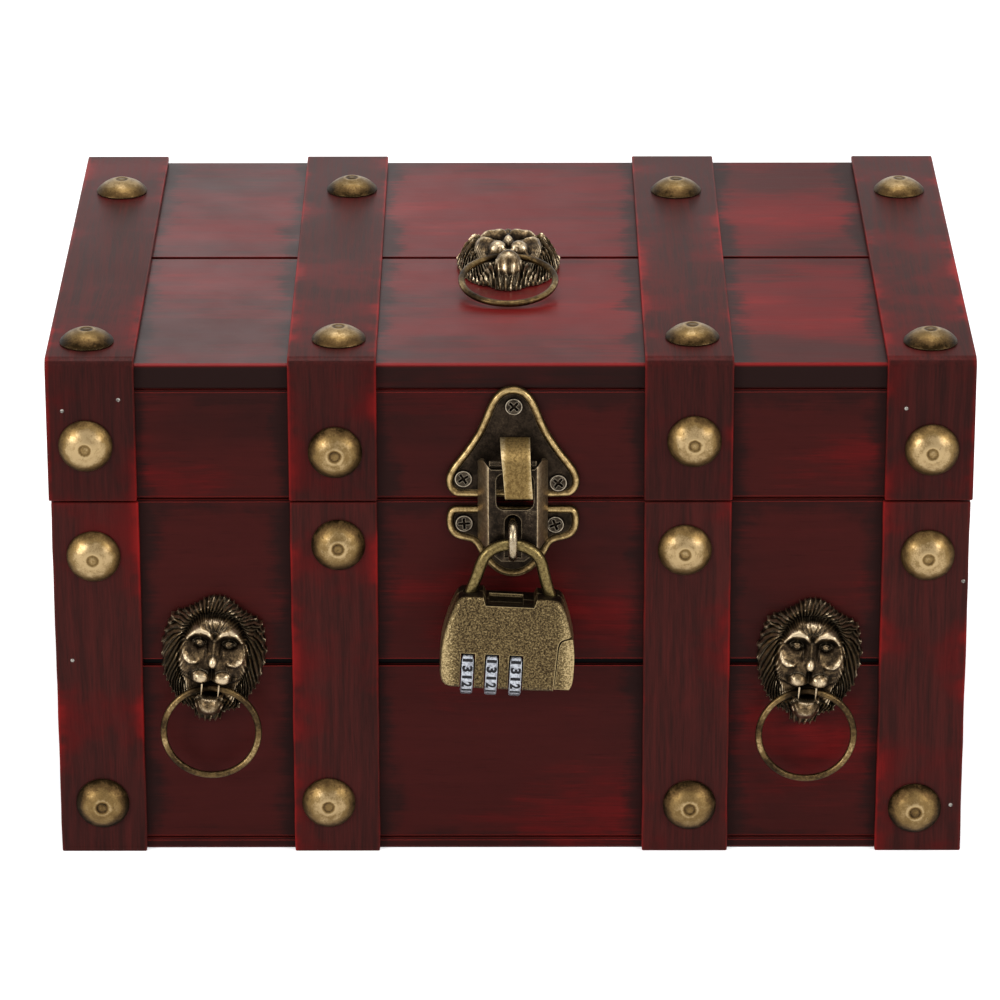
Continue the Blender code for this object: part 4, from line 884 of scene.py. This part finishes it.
def mane(u, v, share):
    """The strands of hair: they fan out at the crown, and slant down and outwards at the sides."""
    angle = np.arctan2(u, v - LION_CENTRE)
    each = MANE_STRANDS / math.tau
    crowding = each + 4.6 * np.cos(2 * angle)
    order = each * angle + 2.3 * np.sin(2 * angle)
    slant = 2.3 * np.sin(angle) + 0.6 * np.exp(-(angle / 0.8) ** 2)
    along = np.log(share + 0.02)
    phase = order - crowding * slant * along + 0.12 * np.sin(7 * along + 3 * angle)
    strands = 1 - np.abs(np.sin(math.pi * phase)) ** 0.9
    fine = np.abs(np.cos(math.tau * 1.5 * phase + 1.0))
    clumps = 0.85 + 0.25 * np.sin(2.1 * phase + 1.3)
    return strands * clumps + 0.16 * fine


def from_face(u, v):
    """How far out a place lies from the middle of the bare face, whose edge is at 1."""
    across, up = np.abs(u / FACE_WIDE), np.abs((v - FACE_UP) / FACE_TALL)
    return (across ** FACE_POWER + up ** FACE_POWER) ** (1 / FACE_POWER)


def hair_cover(u, v):
    """Where hair covers the head: outside the face, and not on the chin."""
    return rise_at(from_face(u, v), 1.0, 0.05) * (1 - np.exp(-(u / 0.28) ** 4 - ((v + 0.30) / 0.30) ** 4))


def lion_height(u, v, share):
    """How far the head stands out: the source's main forms, with the carving of hair, eyes and mouth."""
    x = np.abs(u)
    face = from_face(u, v)
    in_face = 1 - rise_at(face, 1.0, 0.05)
    height = LION_EDGE + LION_RISE * (1 - share ** 4) + 0.4 * in_face
    for form in LION_FORMS + LION_CARVING:
        height = height + swell(u, v, *form)
    upper = rise_at(v, 1.0, 0.10)
    height = height + 1.0 * upper * np.exp(-((face - 1.14) / 0.08) ** 2)
    height = height - 1.7 * upper * np.exp(-((face - 0.97) / 0.06) ** 2)
    height = height - 0.9 * (1 - upper) * np.exp(-((face - 1.03) / 0.05) ** 2) * rise_at(v, -0.1, 0.05)
    height = height + hair_cover(u, v) * np.clip(7 * (1.02 - share) + 0.3, 0, 1) * (1.7 * mane(u, v, share) - 0.9)
    for form in LION_DOMES:
        height = height + dome(u, v, *form)
    for points, wide, rise in LION_STROKES:
        height = height + stroke(u, v, points, wide, rise)
    height = np.minimum(height, BROW_CAP) + 0.74 * np.clip(height - BROW_CAP, 0, None)
    height = np.minimum(height, HIGH_CAP) + CAP_SOFT * np.tanh(np.clip(height - HIGH_CAP, 0, None) / CAP_SOFT)
    sag = (RING_RADIUS - np.sqrt(np.clip(RING_RADIUS ** 2 - (x * LION_HALF) ** 2, 40, None))) / LION_HALF
    slot = 1 - rise_at(x, 0.60, 0.012)
    slot = slot * rise_at(v, -0.125 - sag, 0.012) * (1 - rise_at(v, 0.095 + 0.45 * sag, 0.014))
    floor = RING_SEAT - 2.3 * sag
    height = np.where(height > floor, height * (1 - slot) + floor * slot, height)
    wire = RING_RADIUS / LION_HALF
    from_wire = np.abs(np.hypot(u, v + wire) - wire) * LION_HALF
    room = RING_SEAT + 2.8 * v
    height = np.where((from_wire < 2.3) & (v < -0.05) & (x > 0.25), np.minimum(height, room), height)
    mouth = (1 - rise_at(x, 0.17, 0.014)) * rise_at(v, -0.125, 0.012) * (1 - rise_at(v, 0.125, 0.014))
    return np.where(height > MOUTH_FLOOR, height * (1 - mouth) + MOUTH_FLOOR * mouth, height)


def lion_outline(turn):
    half = np.where(turn <= 0.5, turn, 1 - turn) * 2
    table = np.array(LION_OUTLINE)
    at = half * (len(table) - 1)
    spots = np.arange(len(table))
    u, v = np.interp(at, spots, table[:, 0]), np.interp(at, spots, table[:, 1])
    return np.where(turn <= 0.5, u, -u), v


def smoothed(height, rounds):
    soft = height.copy()
    for _ in range(rounds):
        wide = np.pad(soft, ((1, 1), (0, 0)), mode="edge")
        soft = (wide[:-2] + wide[2:] + 2 * soft + np.roll(soft, 1, 1) + np.roll(soft, -1, 1)) / 6
    return soft


def fang(side):
    """One fang, in front of the ring's wire."""
    piece = turned("fang", [(0, 0), (0.22, 0.05), (0.26, 0.5), (0.17, 2.2), (0.08, 3.1), (0, 3.2)], 16)
    piece.data.transform(moved(2.05 * side, 1.75, 6.95) @ TURN_OUT)
    carve(piece, lambda point: 0.78)
    return piece


def master_lion(columns=560, rows=112):
    """The head: a ring of points shrunk again and again towards its middle, then raised by the carving."""
    deselect()
    bpy.ops.mesh.primitive_circle_add(vertices=columns, radius=1.0, fill_type="NOTHING")
    piece = started("lion_master")
    edit(piece, "EDGE")
    shares = [1.0, 1.0] + [((rows - k) / rows) ** 0.92 for k in range(1, rows)]
    for _ in shares:
        extrude()
    bpy.ops.mesh.merge(type="CENTER")
    leave()
    turn = np.arange(columns) / columns
    edge_u, edge_v = lion_outline(turn)
    tips = mane(edge_u, edge_v, np.ones(columns))
    reach = np.array(shares)[:, None]
    reach = reach * (1 - 0.05 * reach ** 12 * (1 - np.clip(tips, 0, 1))[None, :])
    u, v = edge_u[None, :] * reach, LION_CENTRE + (edge_v[None, :] - LION_CENTRE) * reach
    deep = np.repeat(np.array(shares)[:, None], columns, 1)
    height = lion_height(u, v, deep)
    top = float(lion_height(np.array([0.0]), np.array([LION_CENTRE]), np.array([0.0]))[0])
    relief = 1.5 * (height - smoothed(height, 8)) + 0.42 * (height - smoothed(height, 90))
    lift = np.clip((height - 5.5) / 4, 0, 1) * 0.12
    strands = mane(u, v, deep)
    low = 1 - 0.45 * rise_at(-v, 0.15, 0.08) * (1 - rise_at(deep, 0.93, 0.015))
    polish = 0.30 + relief + lift + hair_cover(u, v) * (strands * low - 0.05)
    # The table adds rubbed wear, and a painted highlight under the chin.
    for form in LION_WEAR_AND_HIGHLIGHT:
        polish = polish + swell(u, v, *form)
    polish = np.clip(polish, 0, 1)
    height[0] = 0.0
    data = piece.data
    places = np.zeros((len(data.vertices), 3))
    flat = np.stack([u * LION_HALF, v * LION_HALF, height], -1).reshape(-1, 3)
    places[:len(flat)] = flat[:len(places)]
    places[-1] = (0, LION_CENTRE * LION_HALF, top)
    data.vertices.foreach_set("co", places.ravel())
    layer = data.attributes.new("polish", "FLOAT", "POINT")
    values = np.full(len(data.vertices), 0.5)
    values[:len(flat)] = polish.ravel()[:len(values)]
    layer.data.foreach_set("value", values)
    data.update()
    pick(piece, lambda middle, way: middle.z < 0.001, "EDGE")
    bpy.ops.mesh.edge_face_add()
    outward(piece)
    return joined("lion_master", piece, fang(-1), fang(1))


def ring_mesh(name):
    """A pull ring, a little uneven, that hangs from its top."""
    deselect()
    bpy.ops.mesh.primitive_torus_add(
        major_radius=RING_RADIUS, minor_radius=0.85, major_segments=96, minor_segments=20)
    piece = started(name)
    for vertex in piece.data.vertices:
        level = Vector((vertex.co.x, vertex.co.y, 0))
        thin = 1 - 0.07 * (1 + noise.noise(level / 5)) * 0.5
        radial = level.normalized() * RING_RADIUS
        vertex.co = radial + (vertex.co - radial) * thin
    piece.data.transform(moved(0, -RING_RADIUS, 0))

    def polish(point):
        return 0.52 + wobble(point, 6.0, 0.45) - 0.4 * math.exp(-(point.x / 4.6) ** 4) * (point.y > -2.5)

    carve(piece, polish)
    return piece


def lions():
    master = master_lion()
    slope = math.asin(4.35 / (2 * RING_RADIUS))
    pulls = (
        ("left", "chest_body", moved(-72.70, BOARD_FRONT, 45.3) @ TURN_OUT, 6.0, 0.0),
        ("right", "chest_body", moved(71.60, BOARD_FRONT, 44.3) @ TURN_OUT, 4.5, 0.0),
        ("top", "lid", moved(-0.5, -14.9, BOARD_TOP), 0.0, slope),
    )
    for side, body, face, lean, swing in pulls:
        node, ring = "lion_" + side, "ring_" + side
        seat(copied(master, node + "_head"), LION_BRASS, body, node, face @ spun(-math.radians(lean)), 60)
        place = face @ moved(0, 0, RING_OUT) @ spun(swing, "X")
        seat(ring_mesh(ring + "_wire"), RING_BRASS, ring, ring, place, 60)
    bpy.data.objects.remove(master)


# Latch

UPPER_PLATE = (
    (0.78, 0.0), (0.89, 0.02), (0.97, 0.07), (1.0, 0.135), (0.985, 0.2), (0.93, 0.27),
    (0.83, 0.345), (0.72, 0.43), (0.62, 0.515), (0.53, 0.6), (0.455, 0.7), (0.39, 0.8),
    (0.33, 0.875), (0.25, 0.94), (0.14, 0.985), (0.0, 1.0),
)
LOWER_PLATE = (
    (0.0, 0.0), (0.17, 0.03), (0.31, 0.11), (0.43, 0.23), (0.52, 0.36), (0.565, 0.45), (0.63, 0.5),
    (0.75, 0.52), (0.86, 0.55), (0.94, 0.61), (0.985, 0.69), (1.0, 0.78), (0.995, 0.87), (0.965, 0.95), (0.9, 0.995),
    (0.8, 1.0), (0.3, 1.0),
)
LATCH_X = 0.5


def mirrored(half):
    return list(half) + [(-a, b) for a, b in reversed(half) if a > 0]


def rounded(outline, turns=2):
    """Cut an outline's corners a few times, so that it runs smoothly."""
    for _ in range(turns):
        finer = []
        for k, (a, b) in enumerate(outline):
            c, d = outline[(k + 1) % len(outline)]
            finer += [(0.75 * a + 0.25 * c, 0.75 * b + 0.25 * d), (0.25 * a + 0.75 * c, 0.25 * b + 0.75 * d)]
        outline = finer
    return outline


def dished_plate(name, half_outline, base, half, height, front):
    """A stamped plate: a thin sheet whose edge is rolled up all round."""
    outline = [(LATCH_X + a * half, base + b * height) for a, b in rounded(mirrored(half_outline))]
    piece = thick_shape(name, outline, front - 0.7, front)
    pick(piece, lambda middle, normal: normal.y < -0.9)
    for across, up in ((0.22, 0.42), (0.30, 0.25), (0.36, 0.12), (0.38, -0.09), (0.36, -0.27), (0.28, -0.35)):
        bpy.ops.mesh.inset(thickness=across, depth=up)
    leave()
    shine_at = {0.7: 0.30, 1.12: 0.50, 1.37: 0.74, 1.49: 0.80, 1.40: 0.48, 1.13: 0.30, 0.78: 0.08}

    def polish(point):
        if point.y >= front - 0.1:
            return 0.4
        return shine_at[min(shine_at, key=lambda rise: abs(front - point.y - rise))]

    carve(piece, polish)
    return piece


def screw_head(name, radius=2.1):
    """A flat screw head with a rubbed rim and a cross cut in it."""
    rim = [(radius * 0.84, 0.50), (radius * 0.90, 0.56), (radius * 0.96, 0.52), (radius, 0.3), (radius, -0.4)]
    head = turned(name, [(0, 0.50), *rim, (0, -0.4)], 40)
    arms = [(radius * 0.68, radius * 0.15), (radius * 0.15, radius * 0.68)]
    cut(head, *(block("arm", (-x, -y, -0.25), (x, y, 1.0)) for x, y in arms))

    def polish(point):
        if point.z <= 0.4:
            return 0.0
        return 0.88 if point.xy.length > radius * 0.88 else 0.40

    carve(head, polish)
    return head


def latch_plates():
    screw = screw_head("screw_master")
    for node, body, outline, base, half, height, front, spots in (
        ("latch_upper_plate", "lid", UPPER_PLATE, 93.2, 16.1, 28.3, LID_FRONT,
         ((0.015, 0.822), (-0.735, 0.172), (0.675, 0.134))),
        ("latch_lower_plate", "chest_body", LOWER_PLATE, 72.4, 16.0, 18.4, BOARD_FRONT,
         ((-0.73, 0.765), (0.635, 0.748))),
    ):
        plate = dished_plate(node + "_sheet", outline, base, half, height, front)
        seat(plate, RIM_BRASS, body, node, degrees=60)
        plate.data.materials.append(PLATE_BRASS)
        largest = max(plate.data.polygons, key=lambda face: face.area * (face.center.y < (front - 0.3) / 1000))
        largest.material_index = 1
        largest.use_smooth = False
        for number, (a, b) in enumerate(spots, 1):
            place = moved(LATCH_X + a * half, front - 0.85, base + b * height) @ TURN_OUT
            turn = spun(0.3 + 0.5 * number + a)
            seat(copied(screw, f"{node}_screw_{number}"), SCREW_BRASS, body, place=place @ turn)
    bpy.data.objects.remove(screw)


def across_path(points):
    """Each point of a path with the way across the path before it, and across it at its bend."""
    for k, point in enumerate(points):
        before = (point - points[k - 1]).normalized() if k else (points[1] - point).normalized()
        after = (points[k + 1] - point).normalized() if k < len(points) - 1 else before
        both = before + after
        yield point, Vector((-before.y, before.x)), Vector((-both.y, both.x)).normalized()


def strip(name, path, thickness, low_x, high_x):
    """A bent strip of sheet along a path of depth and height."""
    left, right = [], []
    for point, square, out in across_path([Vector(p) for p in path]):
        reach = thickness / 2 / max(out.dot(square), 0.5)
        left.append(point + out * reach)
        right.append(point - out * reach)
    outline = [tuple(p) for p in left + right[::-1]]
    piece = thick_shape(name, outline, -high_x, -low_x)
    piece.data.transform(spun(math.pi / 2))
    return bevel(outward(piece), 0.2, 3, 50)


def link():
    """The strap of the upper plate that the flap hangs on, a little crooked."""
    front, back, half = -85.25, -79.65, 3.6
    path = [(-77.2, 108.3), (-78.2, 108.0), (-81.4, 106.7), (-84.0, 105.5), (-84.9, 104.5)]
    path += [(front, 103.2), (front, 98.0)]
    path += arc(8, math.pi, math.tau, (front + 0.9, 96.25), 0.9, 0.5)
    path += [(-83.2, 99.0), (-81.0, 101.0), (back, 102.6), (back, 104.4)]
    piece = strip("latch_upper_plate_link", path, 0.8, -half, half)
    heights = (95.5, 103.4, 108.5)
    for vertex in piece.data.vertices:
        low = np.interp(vertex.co.z, heights, (-1.35, -1.95, -2.6))
        high = np.interp(vertex.co.z, heights, (5.3, 4.75, 4.65))
        vertex.co.x = (low + high) / 2 + vertex.co.x / half * (high - low) / 2
    seat(piece, LINK_BRASS, "lid", degrees=40)


def hasp():
    """A channel of sheet with flared sides, its window round the link and its slot over the staple."""
    half, flare, depth, sheet, face = 6.0, 2.4, 4.5, 0.9, -83.75
    path = [(-half - flare, face + depth), (-half - 0.15, face + 0.5)]
    path += [(-half + 0.25, face + 0.1), (-half + 0.65, face)]
    points = [Vector(p) for p in path + [(-a, b) for a, b in reversed(path)]]
    inner = [point + out * sheet for point, _, out in across_path(points)]
    piece = flat_shape("hasp_flap_sheet", [tuple(p) for p in points + inner[::-1]])
    for vertex in piece.data.vertices:
        vertex.co = (LATCH_X + vertex.co.x, vertex.co.z, 79.1)
    edit(piece)
    extrude(z=25.0)
    outward(piece)
    wide = half + flare + 2
    top = [(half - 0.9, 102.6), (half + 0.9, 104.1), (half + 1.3, 103.9)]
    top += [(wide, 102.0), (wide, 106), (half - 0.9, 106)]
    foot = [(half - 3.2, 78.0), (wide, 78.0), (wide, 84.8), (half, 81.8), (half - 3.2, 79.1)]
    trims = [[(LATCH_X + sign * a, b) for a, b in shape] for sign in (-1, 1) for shape in (top, foot)]
    trims.append([(-4.7, 102.6), (5.7, 102.6), (5.7, 106), (-4.7, 106)])
    tools = [thick_shape("trim", outline, face - 3, face + depth + 3) for outline in trims]
    left, right, low, high = -3.5, 5.5, 92.3, 101.6
    window = [(left, low), (1.0, low), (right, low), (right, 97), (right, high), (1.0, high), (left, high), (left, 97)]
    slot = [(LATCH_X - 2.0, 80.1), (LATCH_X + 2.0, 80.1), *arc(12, 0.0, math.pi, (LATCH_X, 89.1), 2.0, 2.0)]
    tools += [thick_shape("opening", outline, face - 3, face + 5) for outline in (rounded(window), slot)]
    cut(piece, *tools)
    bevel(outward(piece), 0.2, 3, 35)
    lip = rod("lip", [(LATCH_X - 5.6, face + 0.95, 103.7), (LATCH_X + 5.6, face + 0.95, 103.7)], 0.75, 12)
    whole = joined("hasp_flap_sheet", piece, lip)
    seat(whole, FLAP_BRASS, "hasp_flap", "hasp_flap", degrees=40)
    second_finish(whole, FLANGE_BRASS, lambda side: abs(side.center.x - LATCH_X / 1000) > (half - 0.1) / 1000)


def staple():
    """A bent rod whose long loop stands out through the flap's slot."""
    foot, bend = -77.6, -81.5
    loop = [(-84.6 - 3.42 * math.cos(angle) ** 0.8, 85.0 + 4.05 * math.sin(angle))
            for angle in (math.pi * (step / 24 - 0.5) for step in range(25))]
    path = [(foot, 81.9), (bend, 81.3), *loop, (bend, 88.3), (foot, 87.0)]
    piece = rod("latch_staple_rod", [(LATCH_X, y, z) for y, z in path], 1.1, 20)
    seat(piece, STAPLE_BRASS, "chest_body", "latch_staple", degrees=50)


# Padlock

PADLOCK = moved(LATCH_X, -85.5, 84.15) @ spun(math.radians(2.9), "Y")
CASE_HALF_OUTLINE = (
    (0.8, 0.0), (0.93, 0.03), (0.985, 0.1), (1.0, 0.2), (1.0, 0.4), (0.975, 0.55),
    (0.925, 0.7), (0.855, 0.85), (0.79, 0.955), (0.7, 1.0), (0.3, 1.0),
)
CASE_BASE, CASE_HEIGHT, CASE_HALF, CASE_DEEP = -36.1, 23.8, 16.1, 5.0
CASE_PARTING = 0.12
DIAL_X = (-9.4, -3.6, 2.2)
DIAL_Z = -32.1
DIAL_RADIUS = 6.55
DIGIT_SIZE = 3.2
DIGIT_LIFT = 0.012
LEG_X = 9.6
LEG_BORE = 1.75
WELL_RADIUS = 7.1
WELL_HALF = 1.75
WINDOW_HALF = 1.7


def shackle():
    points = [(LEG_X, 0, -28.3)]
    for step in range(41):
        angle = math.pi * step / 40
        pinch = 1 - 0.09 * math.sin(4 * min(angle, math.pi - angle))
        points.append((LEG_X * math.cos(angle) * pinch, 0, 13.0 * (math.sin(angle) - 1)))
    points.append((-LEG_X, 0, -17.3))
    piece = rod("padlock_shackle_rod", points, 1.45, 24)
    seat(piece, WIRE_BRASS, "padlock_shackle", "padlock_shackle", PADLOCK, 50)


def corner_outline(grow, base):
    """The corner of the case that the release slider fills."""
    inner, top = CASE_HALF - 3.8 - grow, CASE_BASE + 14.0 + grow
    return [
        (inner - 0.7, base), (CASE_HALF + 2, base), (CASE_HALF + 2, top + 0.7),
        (inner + 2.2, top + 0.1), (inner + 1.3, top - 0.15), (inner + 0.6, top - 0.6),
        (inner + 0.2, top - 1.3), (inner, top - 2.2),
    ]


def shell(name, front, back):
    """One half of the case, from a depth to a depth, with its outer edge rounded over."""
    outline = [(a * CASE_HALF, CASE_BASE + b * CASE_HEIGHT) for a, b in rounded(mirrored(CASE_HALF_OUTLINE), 1)]
    piece = thick_shape(name, outline, front, back)
    outer = front if abs(front) > abs(back) else back
    pick(piece, lambda middle, way: abs(middle.y - outer) < 0.01, "EDGE")
    bpy.ops.mesh.bevel(offset=1.7, segments=6, affect="EDGES", profile=0.5)
    leave()
    return outward(piece)


def bore(radius, low, high, sides, place):
    """A round cutter from one height to another, in its place."""
    tool = turned("bore", [(0, high), (radius, high), (radius, low), (0, low)], sides)
    tool.data.transform(place)
    return tool


def dial_place(x):
    return moved(x, 0, DIAL_Z) @ spun(math.pi / 2, "Y")


def padlock_shells():
    notch = [(-5.8, -14.1), (5.8, -14.1), (6.6, -12.0), (-6.6, -12.0)]
    ledge = [(-5.0, -14.9), (3.2, -14.9), (3.2, -12.0), (-5.0, -12.0)]
    halves = (("padlock_front_shell", -CASE_DEEP, -CASE_PARTING), ("padlock_back_shell", CASE_PARTING, CASE_DEEP))
    for node, front, back in halves:
        piece = shell(node + "_cast", front, back)
        tools = [thick_shape("corner", corner_outline(0.3, CASE_BASE - 2), -9, 9), thick_shape("notch", notch, -9, 9),
                 thick_shape("ledge", ledge, -3.4, 3.4)]
        for x, depth in ((LEG_X, 16.6), (-LEG_X, 5.6)):
            tools.append(bore(LEG_BORE, -depth, 3.0, 28, moved(x, 0, -12.3)))
        for x in DIAL_X:
            tools.append(bore(WELL_RADIUS, -WELL_HALF, WELL_HALF, 64, dial_place(x)))
            tools.append(block("window", (x - WINDOW_HALF, -6.0, DIAL_Z), (x + WINDOW_HALF, -4.0, DIAL_Z + 5.5)))
        cut(piece, *tools)
        bevel(outward(piece), 0.15, 2, 40)
        seat(piece, CASE_BRASS, "padlock_case", node, PADLOCK)
        second_finish(piece, PLATE_BRASS, lambda face: face.normal.z > 0.75 and face.center.y > -0.0893)


def slider():
    piece = shell("release_slider_block", -CASE_DEEP, CASE_DEEP)
    cut(piece, thick_shape("keep", corner_outline(0.0, CASE_BASE + 1.1), -9, 9), operation="INTERSECT")
    bevel(outward(piece), 0.2, 2, 40)
    seat(piece, CASE_BRASS, "release_slider", "release_slider", PADLOCK)


def digit_mark(digit):
    """A flat digit with its middle at the origin."""
    deselect()
    bpy.ops.object.text_add()
    words = bpy.context.object
    words.data.body = str(digit)
    words.data.size = DIGIT_SIZE
    words.data.align_x = "CENTER"
    words.data.align_y = "CENTER"
    words.data.offset = 0.15
    bpy.ops.object.convert(target="MESH")
    mark = started("digit")
    x, y = (sum(end([v.co[k] for v in mark.data.vertices]) for end in (min, max)) / 2 for k in (0, 1))
    mark.data.transform(moved(-x, -y, 0))
    edit(mark)
    bpy.ops.mesh.subdivide(number_cuts=1)
    leave()
    return mark


def dials():
    """Three plated wheels with painted digits and bars round them."""
    half = 1.45
    edge = [(1.35, half), (5.9, half), (6.35, 1.36), (DIAL_RADIUS, 1.1)]
    profile = [*edge, *((radius, -across) for radius, across in reversed(edge)), edge[0]]
    for number, x in enumerate(DIAL_X, 1):
        body = f"dial_{number}"
        place = PADLOCK @ dial_place(x)
        seat(turned(body + "_wheel", profile, 80), DIAL_SILVER, body, body, place, 30)
        marks = []
        for digit in range(10):
            marks.append(wrap(digit_mark(digit), 10 - digit))
            marks.append(wrap(block("bar", (-0.36, -1.2, 0), (0.36, 1.2, 0.02)), digit + 0.5))
        seat(joined(body + "_digits", *marks), DIGIT_PAINT, body, None, place, 0)


def wrap(mark, step):
    """Bend a flat mark round a dial: its X runs round the wheel and its Y along the axle."""
    for vertex in mark.data.vertices:
        along, across, rise = vertex.co
        angle = along / DIAL_RADIUS + math.tau * step / 10
        reach = DIAL_RADIUS + DIGIT_LIFT + rise
        vertex.co = (reach * math.cos(angle), reach * math.sin(angle), across)
    return mark


# Hinges, brads and small fasteners

def hinge_leaves():
    dress(FLANGE_BRASS, *(f"hinge_{part}_leaf_{side}" for part in ("body", "lid") for side in ("left", "right")))
    screw = screw_head("hinge_screw_master", 1.5)
    for side, x in (("left", -66.0), ("right", 66.0)):
        for body, z, back in (("chest_body", 85.4, 77.4), ("lid", 99.1, 77.7)):
            for number, offset in enumerate((-8.0, 8.0), 1):
                head = copied(screw, f"hinge_screw_{body}_{side}_{number}")
                place = moved(x + offset, back - 0.15, z) @ spun(math.pi) @ TURN_OUT @ spun(number + x)
                seat(head, SCREW_BRASS, body, place=place)
    bpy.data.objects.remove(screw)


def brads():
    """Small nail heads that show in the straps."""
    spots = (("lid", -106.7, 115.6), ("lid", -93.3, 118.4), ("lid", 94.1, 116.0), ("chest_body", -106.1, 51.0),
             ("chest_body", 108.9, 71.5), ("chest_body", 107.5, 12.3))
    for number, (body, x, z) in enumerate(spots, 1):
        head = turned(f"brad_{number}", [(0, 0.16), (0.3, 0.14), (0.48, 0.0), (0.48, -0.6), (0, -0.6)], 16)
        front = STRAP_FRONT_FACE - (0.3 if body == "lid" else 0.0)
        seat(head, OLD_STEEL, body, place=moved(x, front, z) @ TURN_OUT)


def build():
    dress_boards()
    for number, x in enumerate((-99.65, -42.5, 42.5, 99.65), 1):
        body_strap(number, x)
        lid_strap(number)
    for make in (
        studs, brads, lions, latch_plates, link, hasp, staple, shackle, padlock_shells, slider, dials, hinge_leaves,
    ):
        make()


# Floor, light and camera

WHITE = (1.0, 1.0, 1.0, 1.0)


def seen_straight(tree):
    """1 for what the camera sees by itself, in a shine or through a surface, and 0 for light from a surface."""
    path = add(tree, "ShaderNodeLightPath").outputs
    return larger(larger(path["Is Camera Ray"], path["Is Glossy Ray"]), path["Is Transmission Ray"])


def paper_floor():
    deselect()
    bpy.ops.mesh.primitive_plane_add(size=8.0)
    floor = started("studio_floor")
    material, tree, shader, place = new_finish("floor_paper")
    fill(shader, {
        "Base Color": mix(clouds(place, 3.0), (0.86, 0.86, 0.86), (0.9, 0.9, 0.9)),
        "Roughness": 0.9,
        "Specular IOR Level": 0.1,
        "Emission Color": WHITE,
        "Emission Strength": times(seen_straight(tree), 0.5),
    })
    floor.data.materials.append(material)


def white_world():
    world = bpy.data.worlds.new("studio_world")
    bpy.context.scene.world = world
    world.use_nodes = True
    strength = larger(seen_straight(world.node_tree), 0.5)
    fill(world.node_tree.nodes["Background"], {"Color": WHITE, "Strength": strength})


def hang(name, data, place):
    """Put a lamp or a camera in the scene at its place."""
    holder = bpy.data.objects.new(name, data)
    bpy.context.scene.collection.objects.link(holder)
    holder.matrix_world = place
    return holder


def softboxes():
    for name, spot, aim_height, size, power in (
        ("left_softbox", (-1.15, -1.05, 0.62), 0.06, 0.55, 11.0),
        ("right_softbox", (1.15, -0.95, 0.72), 0.06, 0.55, 10.0),
        ("top_softbox", (0.0, -0.1, 1.35), 0.1, 0.9, 8.0),
    ):
        lamp = bpy.data.lights.new(name, "AREA")
        lamp.shape = "SQUARE"
        lamp.size = size
        lamp.energy = power
        way = Vector((0, 0, aim_height)) - Vector(spot)
        hang(name, lamp, moved(*spot) @ way.to_track_quat("-Z", "Y").to_matrix().to_4x4())


def camera():
    data = bpy.data.cameras.new("photo_camera")
    data.lens = 202.7
    data.sensor_width = 36.0
    holder = hang("photo_camera", data, moved(-0.001, -1.3309, 0.5887))
    holder.rotation_euler = [math.radians(angle) for angle in (68.40, 0.08, 0.04)]
    bpy.context.scene.camera = holder


bpy.context.scene.view_settings.view_transform = "Standard"
build()
paper_floor()
white_world()
softboxes()
camera()
